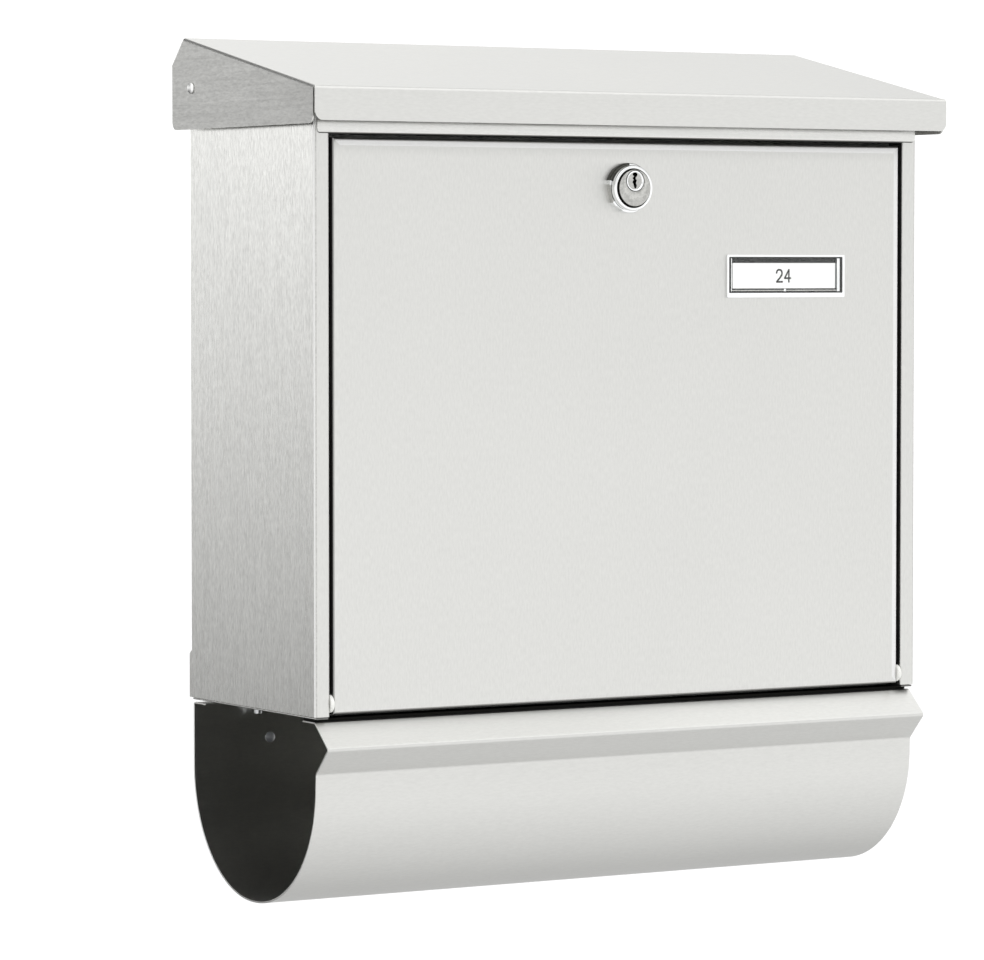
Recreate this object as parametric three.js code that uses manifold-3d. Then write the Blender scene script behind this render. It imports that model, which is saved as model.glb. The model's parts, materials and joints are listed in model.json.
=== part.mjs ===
// Wall mounted mailbox: folded stainless box with a lifting rain lid, a bottom-hinged
// front door with a cam lock and name plate, and an open-ended newspaper tray below.
// Millimetres, +Z up, +X to the right seen from the front, the front faces -Y.
// Origin: centre of the four wall fixing points of the box, on the wall plane.
// Inside the root group the box itself is drawn with x = 0 at its middle, y = 0 at the
// rear edge of its sides and z = 0 at its bottom edge.
import * as THREE from 'three';
import * as BufferGeometryUtils from 'three/addons/utils/BufferGeometryUtils.js';
import Module from 'manifold-3d';

const wasm = await Module();
wasm.setup();

// ---------------------------------------------------------------- driving dimensions
const SHEET = 0.8;            // stainless sheet thickness
const GAP = 0.3;              // gap between touching pieces
const WALL_GAP = 9;           // rear edge of the box to the wall plane
const FIX_X = 130;            // wall fixing points
const FIX_Z = [60, 250];
const FIX_R = 2.6;            // wall fixing holes
const ORIGIN_Z = (FIX_Z[0] + FIX_Z[1]) / 2;

const BODY_HX = 173.6;        // half width over the sides
const BODY_D = 126.5;         // front plane of the box is at y = -BODY_D
const FLANGE_IN = 165.5;      // inner edge of the front side flanges
const POST_D = 12;            // depth of the flange returns
const SIDE_TOP_REAR = 308;
const SIDE_TOP_FRONT = 297.4;
const RAIL_Z = 274.1;         // underside of the front rail
const TOP_Z = 290;            // upper face of the top panel
const SLOT_HX = 163;          // mail slot half width
const SLOT_Y = [-108, -72];   // mail slot front and rear edge

const LID_HX = 181.5;
const LID_REAR_Y = 4;
const LID_LOW_Z = 278.5;
const LID_CHAMFER_Z = 310.8;
const LID_APEX = [-8.3, 323.4];
const LID_FRONT = [-141.7, 295.8];
const LIP_Z = 279.9;
const PIVOT = [-17.7, 298.5]; // lid pivot y, z

const DOOR_HX = 163.4;
const DOOR_Z = [1.0, 272.4];
const DOOR_R = 3.6;           // rounded fold around the door face
const DOOR_RETURN = 11;       // depth of the door's returns
const HINGE = [-123.3, 6];    // door hinge y, z
const HINGE_HOLE_R = 1.75;
const HINGE_PIN_R = 1.4;
const HINGE_HEAD_R = 2.05;
const PIVOT_HOLE_R = 2.3;
const PIVOT_PIN_R = 1.9;

const LOCK_Z = 250;           // centre of the lock body
const PLUG_DZ = 3.4;          // the key plug sits above that centre
const LOCK_BODY_R = 9.0;
const PLUG_R = 5.0;
const CAM_Y = [-114.4, -112.4];
const CAM_TIP = 27;           // plug axis to cam tip

const NP_X = [58.2, 129.0];   // name plate bezel
const NP_Z = [196.5, 217.8];
const NP_WIN_X = [60.0, 127.2];
const NP_WIN_Z = [198.7, 215.9];

const TRAY_HX = 172.4;
const TRAY_R = 61.4;          // outer radius of the rolled trough
const TRAY_CZ = -33.2;
const TRAY_REAR_CY = -61.8;
const TRAY_FRONT_CY = -63.6;
const TRAY_SCREW = [140, -7]; // x, y of the screws that hold the tray to the box
const TRAY_FIX_Z = -22;       // wall fixing holes in the tray's back plate

// ---------------------------------------------------------------- materials
const mat = (color, roughness, metalness, extra = {}) =>
  new THREE.MeshStandardMaterial({ color, roughness, metalness, ...extra });
const STEEL = mat(0xd6d6d2, 0.36, 0.9);
const STEEL_SIDE = mat(0xc4c4c0, 0.4, 0.9);
const ZINC = mat(0xb9bbbd, 0.45, 0.85);
const CHROME = mat(0xe2e4e6, 0.1, 1.0);
const NYLON = mat(0xf1f1ec, 0.5, 0.0);
const GREY_PLASTIC = mat(0x8d9092, 0.6, 0.0);
const CLEAR = mat(0xf4f7f8, 0.06, 0.0, { transparent: true, opacity: 0.35 });
const CARD = mat(0xfafafa, 0.8, 0.0);

// ---------------------------------------------------------------- solid helpers
function solid(geometry) {
  let g = geometry.clone();
  g.deleteAttribute('normal');
  g.deleteAttribute('uv');
  if (g.index) g = g.toNonIndexed();
  g = BufferGeometryUtils.mergeVertices(g, 1e-5);
  return new wasm.Manifold(new wasm.Mesh({
    numProp: 3,
    vertProperties: new Float32Array(g.attributes.position.array),
    triVerts: new Uint32Array(g.index.array),
  }));
}
function geometryOf(manifold) {
  const m = manifold.getMesh();
  const g = new THREE.BufferGeometry();
  const p = new Float32Array(m.numVert * 3);
  for (let i = 0; i < m.numVert; i++) {
    for (let k = 0; k < 3; k++) p[3 * i + k] = m.vertProperties[m.numProp * i + k];
  }
  g.setAttribute('position', new THREE.BufferAttribute(p, 3));
  g.setIndex(Array.from(m.triVerts));
  const flat = g.toNonIndexed();
  flat.computeVertexNormals();
  return flat;
}
const join = (...s) => s.reduce((a, b) => a.add(b));
const cut = (a, ...s) => s.reduce((r, b) => r.subtract(b), a);

const box = (x0, x1, y0, y1, z0, z1) => {
  const g = new THREE.BoxGeometry(x1 - x0, y1 - y0, z1 - z0);
  g.translate((x0 + x1) / 2, (y0 + y1) / 2, (z0 + z1) / 2);
  return solid(g);
};
const shapeOf = (pts) => new THREE.Shape(pts.map(([a, b]) => new THREE.Vector2(a, b)));
const area = (pts) => pts.reduce((s, [a, b], i) => {
  const [c, d] = pts[(i + 1) % pts.length];
  return s + a * d - c * b;
}, 0);
// outline in (y, z), extruded along X from x0 to x1
function extrudeX(pts, x0, x1) {
  const p = area(pts) < 0 ? [...pts].reverse() : pts;
  const g = new THREE.ExtrudeGeometry(shapeOf(p), { depth: x1 - x0, bevelEnabled: false });
  g.applyMatrix4(new THREE.Matrix4().set(0, 0, 1, x0, 1, 0, 0, 0, 0, 1, 0, 0, 0, 0, 0, 1));
  return solid(g);
}
// outline in (x, z), extruded along Y from y0 to y1
function extrudeY(pts, y0, y1, options = {}) {
  const p = area(pts) < 0 ? [...pts].reverse() : pts;
  const g = new THREE.ExtrudeGeometry(shapeOf(p), { depth: y1 - y0, bevelEnabled: false, ...options });
  g.applyMatrix4(new THREE.Matrix4().set(1, 0, 0, 0, 0, 0, -1, y1, 0, 1, 0, 0, 0, 0, 0, 1));
  return solid(g);
}
// outline in (x, y), extruded along Z from z0 to z1
function extrudeZ(pts, z0, z1) {
  const p = area(pts) < 0 ? [...pts].reverse() : pts;
  const g = new THREE.ExtrudeGeometry(shapeOf(p), { depth: z1 - z0, bevelEnabled: false });
  g.translate(0, 0, z0);
  return solid(g);
}
const rodX = (r, x0, x1, y, z, n = 16) => {
  const g = new THREE.CylinderGeometry(r, r, x1 - x0, n);
  g.rotateZ(Math.PI / 2);
  g.translate((x0 + x1) / 2, y, z);
  return solid(g);
};
const rodY = (r, y0, y1, x, z, n = 32) => {
  const g = new THREE.CylinderGeometry(r, r, y1 - y0, n);
  g.translate(x, (y0 + y1) / 2, z);
  return solid(g);
};
const rodZ = (r, z0, z1, x, y, n = 24) => {
  const g = new THREE.CylinderGeometry(r, r, z1 - z0, n);
  g.rotateX(Math.PI / 2);
  g.translate(x, y, (z0 + z1) / 2);
  return solid(g);
};
// turned piece: profile of [radius, height] pairs, revolved and laid along an axis
function turned(profile, axis, at, n = 20) {
  const g = new THREE.LatheGeometry(profile.map(([r, h]) => new THREE.Vector2(r, h)), n);
  if (axis === '+x') g.rotateZ(-Math.PI / 2);
  if (axis === '-x') g.rotateZ(Math.PI / 2);
  if (axis === '-y') g.rotateX(Math.PI);
  if (axis === '+z') g.rotateX(Math.PI / 2);
  if (axis === '-z') g.rotateX(-Math.PI / 2);
  g.translate(...at);
  return solid(g);
}
// open chain of points thickened to one side, as a folded sheet seen on edge
function sheetOutline(chain, t) {
  const n = chain.length;
  const off = chain.map((p, i) => {
    const prev = chain[Math.max(i - 1, 0)];
    const next = chain[Math.min(i + 1, n - 1)];
    const d0 = i > 0 ? unit(prev, p) : unit(p, next);
    const d1 = i < n - 1 ? unit(p, next) : unit(prev, p);
    const n0 = [-d0[1], d0[0]];
    const n1 = [-d1[1], d1[0]];
    const m = [n0[0] + n1[0], n0[1] + n1[1]];
    const k = (2 * t) / (m[0] * m[0] + m[1] * m[1]);
    return [p[0] + m[0] * k, p[1] + m[1] * k];
  });
  return [...chain, ...off.reverse()];
}
const unit = (a, b) => {
  const l = Math.hypot(b[0] - a[0], b[1] - a[1]);
  return [(b[0] - a[0]) / l, (b[1] - a[1]) / l];
};
const arc = (cy, cz, r, a0, a1, n) => Array.from({ length: n + 1 }, (_, i) => {
  const a = ((a0 + ((a1 - a0) * i) / n) * Math.PI) / 180;
  return [cy + r * Math.cos(a), cz + r * Math.sin(a)];
});
const mirrorX = (m) => m.mirror([1, 0, 0]);

const root = new THREE.Group();
root.position.set(0, -WALL_GAP, -ORIGIN_Z);
function add(name, manifold, material) {
  const mesh = new THREE.Mesh(geometryOf(manifold), material);
  mesh.name = name;
  root.add(mesh);
  return mesh;
}

// ---------------------------------------------------------------- side panels
// Wrapped sheet seen from above: rear flange, side wall, front flange, inner return.
function sidePanel() {
  const wall = extrudeX([
    [0, 22], [1.3, 21], [1.3, 0], [-BODY_D, 0],
    [-BODY_D, SIDE_TOP_FRONT], [0, SIDE_TOP_REAR],
  ], BODY_HX - SHEET, BODY_HX);
  const front = box(FLANGE_IN, BODY_HX - SHEET / 2, -BODY_D, -BODY_D + SHEET, 0, RAIL_Z + 12);
  const post = box(FLANGE_IN, FLANGE_IN + SHEET, -BODY_D + SHEET / 2, -BODY_D + POST_D, 0, RAIL_Z - 0.4);
  const rear = box(161, BODY_HX - SHEET / 2, -SHEET, 0, 24, 288);
  let s = join(wall, front, post, rear);
  s = cut(s,
    rodX(HINGE_HOLE_R, FLANGE_IN - 1, FLANGE_IN + 2, HINGE[0], HINGE[1]),
    rodX(PIVOT_HOLE_R, BODY_HX - 2, BODY_HX + 1, PIVOT[0], PIVOT[1]));
  return s;
}
add('right_side_panel', sidePanel(), STEEL_SIDE);
add('left_side_panel', mirrorX(sidePanel()), STEEL_SIDE);

// ---------------------------------------------------------------- back panel
{
  const y0 = -1.9, y1 = -1.1;
  let back = box(-172.4, 172.4, y0, y1, 0.2, 288.8);
  for (const x of [-FIX_X, FIX_X]) for (const z of FIX_Z) {
    back = cut(back, rodY(FIX_R, y0 - 1, y1 + 1, x, z, 16));
  }
  add('back_panel', back, STEEL_SIDE);
}

// ---------------------------------------------------------------- bottom panel
{
  const z0 = -1.1, z1 = -0.3;
  let b = join(
    extrudeZ([[-172.6, -0.4], [-172.6, -126], [-166.2, -126], [-166.2, -112.6], [166.2, -112.6],
      [166.2, -126], [172.6, -126], [172.6, -0.4]], z0, z1),
    box(-160, 160, -112.6, -111.8, z1 - 0.4, 8),
    box(-160, 160, -3, -2.2, z1 - 0.4, 11),
    box(171.6, 172.4, -108, -6, z1 - 0.4, 11),
    box(-172.4, -171.6, -108, -6, z1 - 0.4, 11));
  for (const s of [-1, 1]) {
    b = cut(b, rodZ(2.4, z0 - 1, z1 + 1, s * TRAY_SCREW[0], TRAY_SCREW[1], 16));
    for (const y of [-30, -96]) b = cut(b, rodZ(3, z0 - 1, z1 + 1, s * 100, y, 16));
  }
  add('bottom_panel', b, STEEL_SIDE);
}

// ---------------------------------------------------------------- top panel with the mail slot
{
  const hx = 172.4;
  const y0 = -BODY_D - GAP - SHEET;      // face of the front flange
  let t = join(
    extrudeX(sheetOutline([
      [-114.9, 284], [-114.9, RAIL_Z], [y0, RAIL_Z], [y0, TOP_Z], [-2.4, TOP_Z], [-2.4, 298],
    ], -SHEET), -FLANGE_IN + 0.3, FLANGE_IN - 0.3),
    extrudeX(sheetOutline([
      [y0 + 2.0, RAIL_Z + 0.001], [y0, RAIL_Z + 1.2], [y0, TOP_Z], [-2.4, TOP_Z], [-2.4, 298],
    ], -SHEET), -hx, hx));
  // the post and side flanges stand behind this front flange, so the ends of the rail return stay clear of them
  t = cut(t,
    box(FLANGE_IN - 0.4, hx + 1, y0 + SHEET, -90, RAIL_Z - 1, RAIL_Z + 13),
    box(-hx - 1, -FLANGE_IN + 0.4, y0 + SHEET, -90, RAIL_Z - 1, RAIL_Z + 13));
  t = cut(t, box(-SLOT_HX, SLOT_HX, SLOT_Y[0], SLOT_Y[1], TOP_Z - 2, TOP_Z + 1));
  t = join(t,
    box(-SLOT_HX, SLOT_HX, SLOT_Y[0] - SHEET, SLOT_Y[0], TOP_Z - 9, TOP_Z - 0.1),
    box(-SLOT_HX, SLOT_HX, SLOT_Y[1], SLOT_Y[1] + SHEET, TOP_Z - 9, TOP_Z - 0.1));
  add('top_panel', t, STEEL);
}

// ---------------------------------------------------------------- newspaper tray
{
  const chain = [
    [-13, -2.4], [-0.4, -2.4], [-0.4, TRAY_CZ],
    ...arc(TRAY_REAR_CY, TRAY_CZ, TRAY_R, 0, -90, 16).slice(1),
    ...arc(TRAY_FRONT_CY, TRAY_CZ, TRAY_R, -90, -180, 16),
    [-125.2, -27.3], [-137.2, -14.5], [-123.8, -2.5], [-111.8, -2.5],
  ];
  let tray = extrudeX(sheetOutline(chain, -SHEET), -TRAY_HX, TRAY_HX);
  for (const s of [-1, 1]) {
    tray = cut(tray,
      rodZ(2.4, -5, 0, s * TRAY_SCREW[0], TRAY_SCREW[1], 16),
      rodY(FIX_R, -3, 1, s * FIX_X, TRAY_FIX_Z, 16));
  }
  add('newspaper_tray', tray, STEEL);
}

// ---------------------------------------------------------------- tray screws and nuts
for (const [side, s] of [['left', -1], ['right', 1]]) {
  const [x, y] = [s * TRAY_SCREW[0], TRAY_SCREW[1]];
  // pan head inside the box, shank down through the bottom panel and the tray flange
  const screw = turned([[0, -9.2], [1.9, -9.2], [2, -8.8], [2, 0], [3.8, 0], [3.8, 1.4], [3.0, 2.2], [0, 2.5]],
    '+z', [x, y, 0]);
  add(`tray_screw_${side}`, cut(screw, box(x - 0.4, x + 0.4, y - 2, y + 2, 1.7, 3), box(x - 2, x + 2, y - 0.4, y + 0.4, 1.7, 3)), ZINC);
  const hex = new THREE.CylinderGeometry(4.04, 4.04, 3, 6);
  hex.rotateX(Math.PI / 2);
  hex.translate(x, y, -5.0);
  add(`tray_nut_${side}`, cut(solid(hex), rodZ(2.3, -8, -2, x, y, 16)), ZINC);
}

// ---------------------------------------------------------------- wall spacers
function spacer(x, z, yFront) {
  return cut(
    turned([[FIX_R + 0.2, 0], [9, 0], [9, 2], [7.5, WALL_GAP - yFront], [FIX_R + 0.2, WALL_GAP - yFront], [FIX_R + 0.2, 0]],
      '+y', [x, yFront, z]));
}
for (const [side, s] of [['left', -1], ['right', 1]]) {
  add(`wall_spacer_lower_${side}`, spacer(s * FIX_X, FIX_Z[0], -0.8), GREY_PLASTIC);
  add(`wall_spacer_upper_${side}`, spacer(s * FIX_X, FIX_Z[1], -0.8), GREY_PLASTIC);
  add(`tray_spacer_${side}`, spacer(s * FIX_X, TRAY_FIX_Z, -0.1), GREY_PLASTIC);
}

// ---------------------------------------------------------------- rain lid
{
  const roof = extrudeX(sheetOutline([
    [LID_REAR_Y, LID_CHAMFER_Z], LID_APEX, LID_FRONT, [LID_FRONT[0], LIP_Z],
  ], SHEET), -LID_HX, LID_HX);
  const cheek = (x0, x1) => extrudeX([
    [LID_REAR_Y, LID_CHAMFER_Z - 0.02], [LID_APEX[0], LID_APEX[1] - 0.02],
    [LID_FRONT[0] + 1.6, LID_FRONT[1] - 0.1], [LID_FRONT[0] + 1.6, LID_LOW_Z + 3.4],
    [LID_FRONT[0] + 2.7, LID_LOW_Z + 0.9], [LID_FRONT[0] + 5.2, LID_LOW_Z],
    [LID_REAR_Y - 4, LID_LOW_Z], [LID_REAR_Y - 1.2, LID_LOW_Z + 1.2], [LID_REAR_Y, LID_LOW_Z + 4],
  ], x0, x1);
  let lid = join(roof, cheek(LID_HX - SHEET, LID_HX), cheek(-LID_HX, -LID_HX + SHEET));
  // rounded lower corners of the front lip
  for (const s of [-1, 1]) {
    const c = [[0, -1], [3.6, -1], [3.6, 0], [1.1, 1.1], [0, 3.6], [-1, 3.6], [-1, -1]]
      .map(([a, b]) => [s * (LID_HX - a), LIP_Z + b]);
    lid = cut(lid, extrudeY(c, LID_FRONT[0] - 1, LID_FRONT[0] + 1.3));
  }
  lid = cut(lid,
    rodX(PIVOT_HOLE_R, LID_HX - 2, LID_HX + 1, PIVOT[0], PIVOT[1]),
    rodX(PIVOT_HOLE_R, -LID_HX - 1, -LID_HX + 2, PIVOT[0], PIVOT[1]));
  add('lid', lid, STEEL);
}

// ---------------------------------------------------------------- lid pivots
for (const [side, s] of [['left', -1], ['right', 1]]) {
  const out = s > 0 ? '+x' : '-x';
  const at = (x) => [s * x, PIVOT[0], PIVOT[1]];
  add(`lid_pivot_pin_${side}`, turned([[0, -12.6], [1.6, -12.6], [PIVOT_PIN_R, -12.2], [PIVOT_PIN_R, 0], [2.7, 0], [2.6, 0.7], [1.9, 1.3], [0, 1.6]],
    out, at(LID_HX + GAP), 16), CHROME);
  add(`lid_pivot_spacer_${side}`, turned([[2.2, 0], [4.6, 0], [4.6, 6.5], [2.2, 6.5], [2.2, 0]],
    out, at(BODY_HX + GAP), 16), NYLON);
  add(`lid_pivot_clip_${side}`, turned([[2.2, 0], [4.8, 0], [4.8, 1], [3.4, 2], [2.2, 2], [2.2, 0]],
    s > 0 ? '-x' : '+x', at(BODY_HX - SHEET - GAP), 16), ZINC);
}

// ---------------------------------------------------------------- door
{
  // rounded pan: face at y = -BODY_D, folded back all round
  const pan = (inset, y0) => {
    const r = DOOR_R - inset;
    const hx = DOOR_HX - inset, z0 = DOOR_Z[0] + inset, z1 = DOOR_Z[1] - inset;
    return extrudeY([[-hx, z0], [hx, z0], [hx, z1], [-hx, z1]], y0 + r, -BODY_D + 40,
      { bevelEnabled: true, bevelThickness: r, bevelSize: r, bevelOffset: -r, bevelSegments: 3 });
  };
  const clip = box(-200, 200, -BODY_D + DOOR_RETURN, 0, -50, 400);
  let door = cut(pan(0, -BODY_D), pan(SHEET, -BODY_D + SHEET), clip);
  // hole for the lock body, with two flats
  const hole = cut(rodY(LOCK_BODY_R + 0.35, -BODY_D - 2, -BODY_D + 4, 0, LOCK_Z, 40),
    box(8.35, 12, -BODY_D - 3, -BODY_D + 5, LOCK_Z - 12, LOCK_Z + 12),
    box(-12, -8.35, -BODY_D - 3, -BODY_D + 5, LOCK_Z - 12, LOCK_Z + 12));
  // cut-out behind the name plate
  const plate = box(NP_WIN_X[0] + 1.2, NP_WIN_X[1] - 1.2, -BODY_D - 2, -BODY_D + 3, NP_WIN_Z[0] + 1.2, NP_WIN_Z[1] - 1.2);
  door = cut(door, hole, plate,
    rodX(HINGE_HOLE_R, -DOOR_HX - 1, -DOOR_HX + 3.2, HINGE[0], HINGE[1]),
    rodX(HINGE_HOLE_R, DOOR_HX - 3.2, DOOR_HX + 1, HINGE[0], HINGE[1]));
  add('door_panel', door, STEEL);
}

// ---------------------------------------------------------------- door hinge pins
for (const [side, s] of [['left', -1], ['right', 1]]) {
  const out = s > 0 ? '+x' : '-x';
  const at = (x) => [s * x, HINGE[0], HINGE[1]];
  // pin with a low head that stays clear of the door's rounded fold as the door turns
  add(`door_hinge_pin_${side}`, turned([[0, 0], [HINGE_HEAD_R, 0], [HINGE_HEAD_R, 1.2], [HINGE_PIN_R, 1.2], [HINGE_PIN_R, 9.4], [1.1, 9.8], [0, 9.8]],
    out, at(158.4), 16), ZINC);
  add(`door_hinge_bush_${side}`, turned([[1.7, 0], [4.0, 0], [4.3, 0.3], [4.3, 1.2], [4.0, 1.5], [1.7, 1.5], [1.7, 0]],
    out, at(DOOR_HX + GAP), 24), NYLON);
  // open retaining clip in the hollow front post, its mouth towards the front flange
  add(`door_hinge_clip_${side}`, cut(turned([[1.7, 0], [4.2, 0], [4.2, 1.0], [1.7, 1.0], [1.7, 0]],
    out, at(FLANGE_IN + SHEET + GAP), 16), box(-170, 170, -130, HINGE[0] - 1.2, 0, 12)), ZINC);
}

// ---------------------------------------------------------------- cam lock
{
  const y = -BODY_D;
  const zp = LOCK_Z + PLUG_DZ;
  // stamped collar against the door
  let rosette = turned([[9.4, 0], [12.2, 0], [12.2, 2.0], [11.5, 3.0], [9.4, 3.0], [9.4, 0]], '-y', [0, y - GAP, LOCK_Z], 32);
  for (const a of [25, 155, 205, 335]) {
    const g = new THREE.BoxGeometry(3.2, 6, 2.2);
    g.translate(12.6, 0, 0);
    g.rotateY((a * Math.PI) / 180);
    g.translate(0, y - 1.6, LOCK_Z);
    rosette = cut(rosette, solid(g));
  }
  add('lock_rosette', rosette, CHROME);

  // lock body: ring flange, dark groove, face disc, threaded shank with two flats
  let body = turned([
    [0, -15.6 + 4.2], [LOCK_BODY_R, -15.6 + 4.2], [LOCK_BODY_R, 3.6], [11.1, 3.6], [11.1, 5.8],
    [10.5, 6.45], [9.7, 6.45], [9.5, 4.6], [9.15, 4.6], [9.05, 7.5], [8.8, 7.9], [0, 7.9],
  ], '-y', [0, y, LOCK_Z], 32);
  body = cut(body,
    box(8.0, 12, y - 0.25, y + 30, LOCK_Z - 12, LOCK_Z + 12),
    box(-12, -8.0, y - 0.25, y + 30, LOCK_Z - 12, LOCK_Z + 12),
    rodY(PLUG_R + GAP, y - 20, y + 30, 0, zp, 32));
  add('lock_body', body, CHROME);

  const nutHex = new THREE.CylinderGeometry(12.7, 12.7, 3.4, 6);
  nutHex.translate(0, y + SHEET + GAP + 1.7, LOCK_Z);
  add('lock_nut', cut(solid(nutHex), rodY(LOCK_BODY_R + GAP, y, y + 10, 0, LOCK_Z, 40)), ZINC);

  // key plug: round barrel, keyway, square tail that carries the cam
  let plug = rodY(PLUG_R, y - 7.6, CAM_Y[0] - GAP, 0, zp, 32);
  plug = join(plug, box(-2.9, 2.9, CAM_Y[0] - GAP - 0.5, CAM_Y[1] + 0.1, zp - 2.9, zp + 2.9));
  plug = cut(plug,
    box(-0.6, 0.6, y - 9, y - 1, zp - 3.7, zp + 3.7),
    box(-1.2, 0.2, y - 9, y - 1, zp - 0.4, zp + 1.4),
    rodY(1.8, CAM_Y[1] - 7, CAM_Y[1] + 2, 0, zp, 16));
  add('lock_plug', plug, CHROME);

  // cam: at rest it lies to the side and clears the rail; a quarter turn puts it up behind the rail
  const tip = -CAM_TIP;
  let cam = extrudeY([
    [6, zp - 6], [7.4, zp - 3], [7.4, zp + 3], [6, zp + 6], [-5, zp + 6.4],
    [tip + 2, zp + 5.2], [tip, zp + 3.2], [tip, zp - 3.2], [tip + 2, zp - 5.2], [-5, zp - 6.4],
  ], CAM_Y[0], CAM_Y[1]);
  cam = cut(cam, box(-3.2, 3.2, CAM_Y[0] - 1, CAM_Y[1] + 1, zp - 3.2, zp + 3.2));
  add('lock_cam', cam, ZINC);

  const ys = CAM_Y[1] + 0.1 + GAP;
  let screw = join(rodY(1.5, ys - 6, ys + 0.5, 0, zp, 16),
    turned([[0, 0], [4.6, 0], [4.6, 1.2], [3.6, 2.2], [0, 2.4]], '+y', [0, ys, zp], 16));
  screw = cut(screw, box(-2.2, 2.2, ys + 1.5, ys + 3, zp - 0.4, zp + 0.4), box(-0.4, 0.4, ys + 1.5, ys + 3, zp - 2.2, zp + 2.2));
  add('cam_screw', screw, ZINC);
}

// ---------------------------------------------------------------- name plate
{
  const y = -BODY_D;
  const rect = ([x0, x1], [z0, z1], d = 0) => [[x0 + d, z0 + d], [x1 - d, z0 + d], [x1 - d, z1 - d], [x0 + d, z1 - d]];
  // bezel in front of the door, collar through the cut-out
  let frame = join(
    extrudeY(rect(NP_X, NP_Z), y - 1.3, y - GAP),
    extrudeY(rect(NP_WIN_X, NP_WIN_Z, 1.6), y - 1.0, y + 3.4));
  frame = cut(frame,
    extrudeY(rect(NP_WIN_X, NP_WIN_Z, 0), y - 3, y - 0.62),
    extrudeY(rect(NP_WIN_X, NP_WIN_Z, 2.2), y - 3, y + 6));
  add('nameplate_frame', frame, CHROME);
  // clear window: front plate seated in the bezel
  add('nameplate_window', extrudeY(rect(NP_WIN_X, NP_WIN_Z, 0.3), y - 1.9, y - 0.92), CLEAR);
  add('nameplate_card', extrudeY(rect(NP_WIN_X, NP_WIN_Z, 2.5), y - 0.3, y + 0.1), CARD);
  // holder that backs the card and clips on behind the door
  add('nameplate_holder', join(
    extrudeY(rect(NP_WIN_X, NP_WIN_Z, 2.5), y + 0.4, y + 4.6),
    extrudeY(rect(NP_X, NP_Z, 1.2), y + 3.7, y + 5.1)), GREY_PLASTIC);
}

export default root;
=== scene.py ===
"""Looks of the wall mounted mailbox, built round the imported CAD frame. Lengths in the helpers are millimetres in the box's
own drawing frame (x = 0 middle, y = 0 rear edge of the sides, z = 0 bottom edge); pt() turns them into the row frame."""
import json
import math

import bmesh
import bpy
from mathutils import Matrix, Vector


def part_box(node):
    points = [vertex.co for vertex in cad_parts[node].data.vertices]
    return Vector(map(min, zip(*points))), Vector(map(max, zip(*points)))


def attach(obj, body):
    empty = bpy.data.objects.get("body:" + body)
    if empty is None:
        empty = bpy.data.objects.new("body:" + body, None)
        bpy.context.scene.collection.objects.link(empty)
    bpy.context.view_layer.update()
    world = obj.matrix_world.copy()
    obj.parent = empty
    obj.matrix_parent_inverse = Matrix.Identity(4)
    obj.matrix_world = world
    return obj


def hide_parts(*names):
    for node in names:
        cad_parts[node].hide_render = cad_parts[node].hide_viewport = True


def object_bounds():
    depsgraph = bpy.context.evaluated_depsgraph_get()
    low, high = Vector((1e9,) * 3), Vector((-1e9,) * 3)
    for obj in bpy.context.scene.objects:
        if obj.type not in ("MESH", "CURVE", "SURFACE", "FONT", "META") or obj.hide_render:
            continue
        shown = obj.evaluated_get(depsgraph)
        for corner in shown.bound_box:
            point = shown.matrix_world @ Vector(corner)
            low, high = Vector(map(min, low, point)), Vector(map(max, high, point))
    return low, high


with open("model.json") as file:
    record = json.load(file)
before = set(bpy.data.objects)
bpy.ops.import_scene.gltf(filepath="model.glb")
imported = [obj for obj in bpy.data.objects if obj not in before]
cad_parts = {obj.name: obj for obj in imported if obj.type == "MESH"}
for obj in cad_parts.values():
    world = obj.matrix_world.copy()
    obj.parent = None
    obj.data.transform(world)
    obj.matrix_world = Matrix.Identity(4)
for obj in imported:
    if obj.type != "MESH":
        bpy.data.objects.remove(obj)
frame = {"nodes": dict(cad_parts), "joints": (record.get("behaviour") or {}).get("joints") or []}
nodes = frame["nodes"]
cad_lo, cad_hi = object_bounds()
scene = bpy.context.scene

# ------------------------------------------------------------------ frame positions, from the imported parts
side_lo, side_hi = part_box("right_side_panel")
OY = side_lo.y * 1000 + 126.5      # row y of the drawing frame's y = 0
OZ = side_lo.z * 1000              # row z of the drawing frame's z = 0
HX = side_hi.x * 1000              # half width over the sides
door_lo, door_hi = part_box("door_panel")
DHX, DZ0, DZ1 = door_hi.x * 1000, door_lo.z * 1000 - OZ, door_hi.z * 1000 - OZ
lid_lo, lid_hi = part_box("lid")
LHX = lid_hi.x * 1000
tray_lo, tray_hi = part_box("newspaper_tray")
THX = tray_hi.x * 1000
JOINT = {j["name"]: j for j in frame["joints"]}


def local(joint):
    p = JOINT[joint]["pos_m"]
    return p[0] * 1000, p[1] * 1000 - OY, p[2] * 1000 - OZ


def pt(x, y, z):
    return Vector((x / 1000, (y + OY) / 1000, (z + OZ) / 1000))


# ------------------------------------------------------------------ camera, first
cam_data = bpy.data.cameras.new("camera")
cam_data.sensor_width = 36.0
cam_data.lens = 172.11
cam_data.clip_start, cam_data.clip_end = 0.05, 100.0
cam = bpy.data.objects.new("camera", cam_data)
scene.collection.objects.link(cam)
YAW, PITCH = math.radians(-31.092), math.radians(-2.606)
forward = Vector((-math.sin(YAW) * math.cos(PITCH), math.cos(YAW) * math.cos(PITCH), math.sin(PITCH)))
cam.location = pt(-1240.3, -2056.21, 212.21)
cam.rotation_mode = "QUATERNION"
cam.rotation_quaternion = forward.to_track_quat("-Z", "Y")
scene.camera = cam


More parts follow.
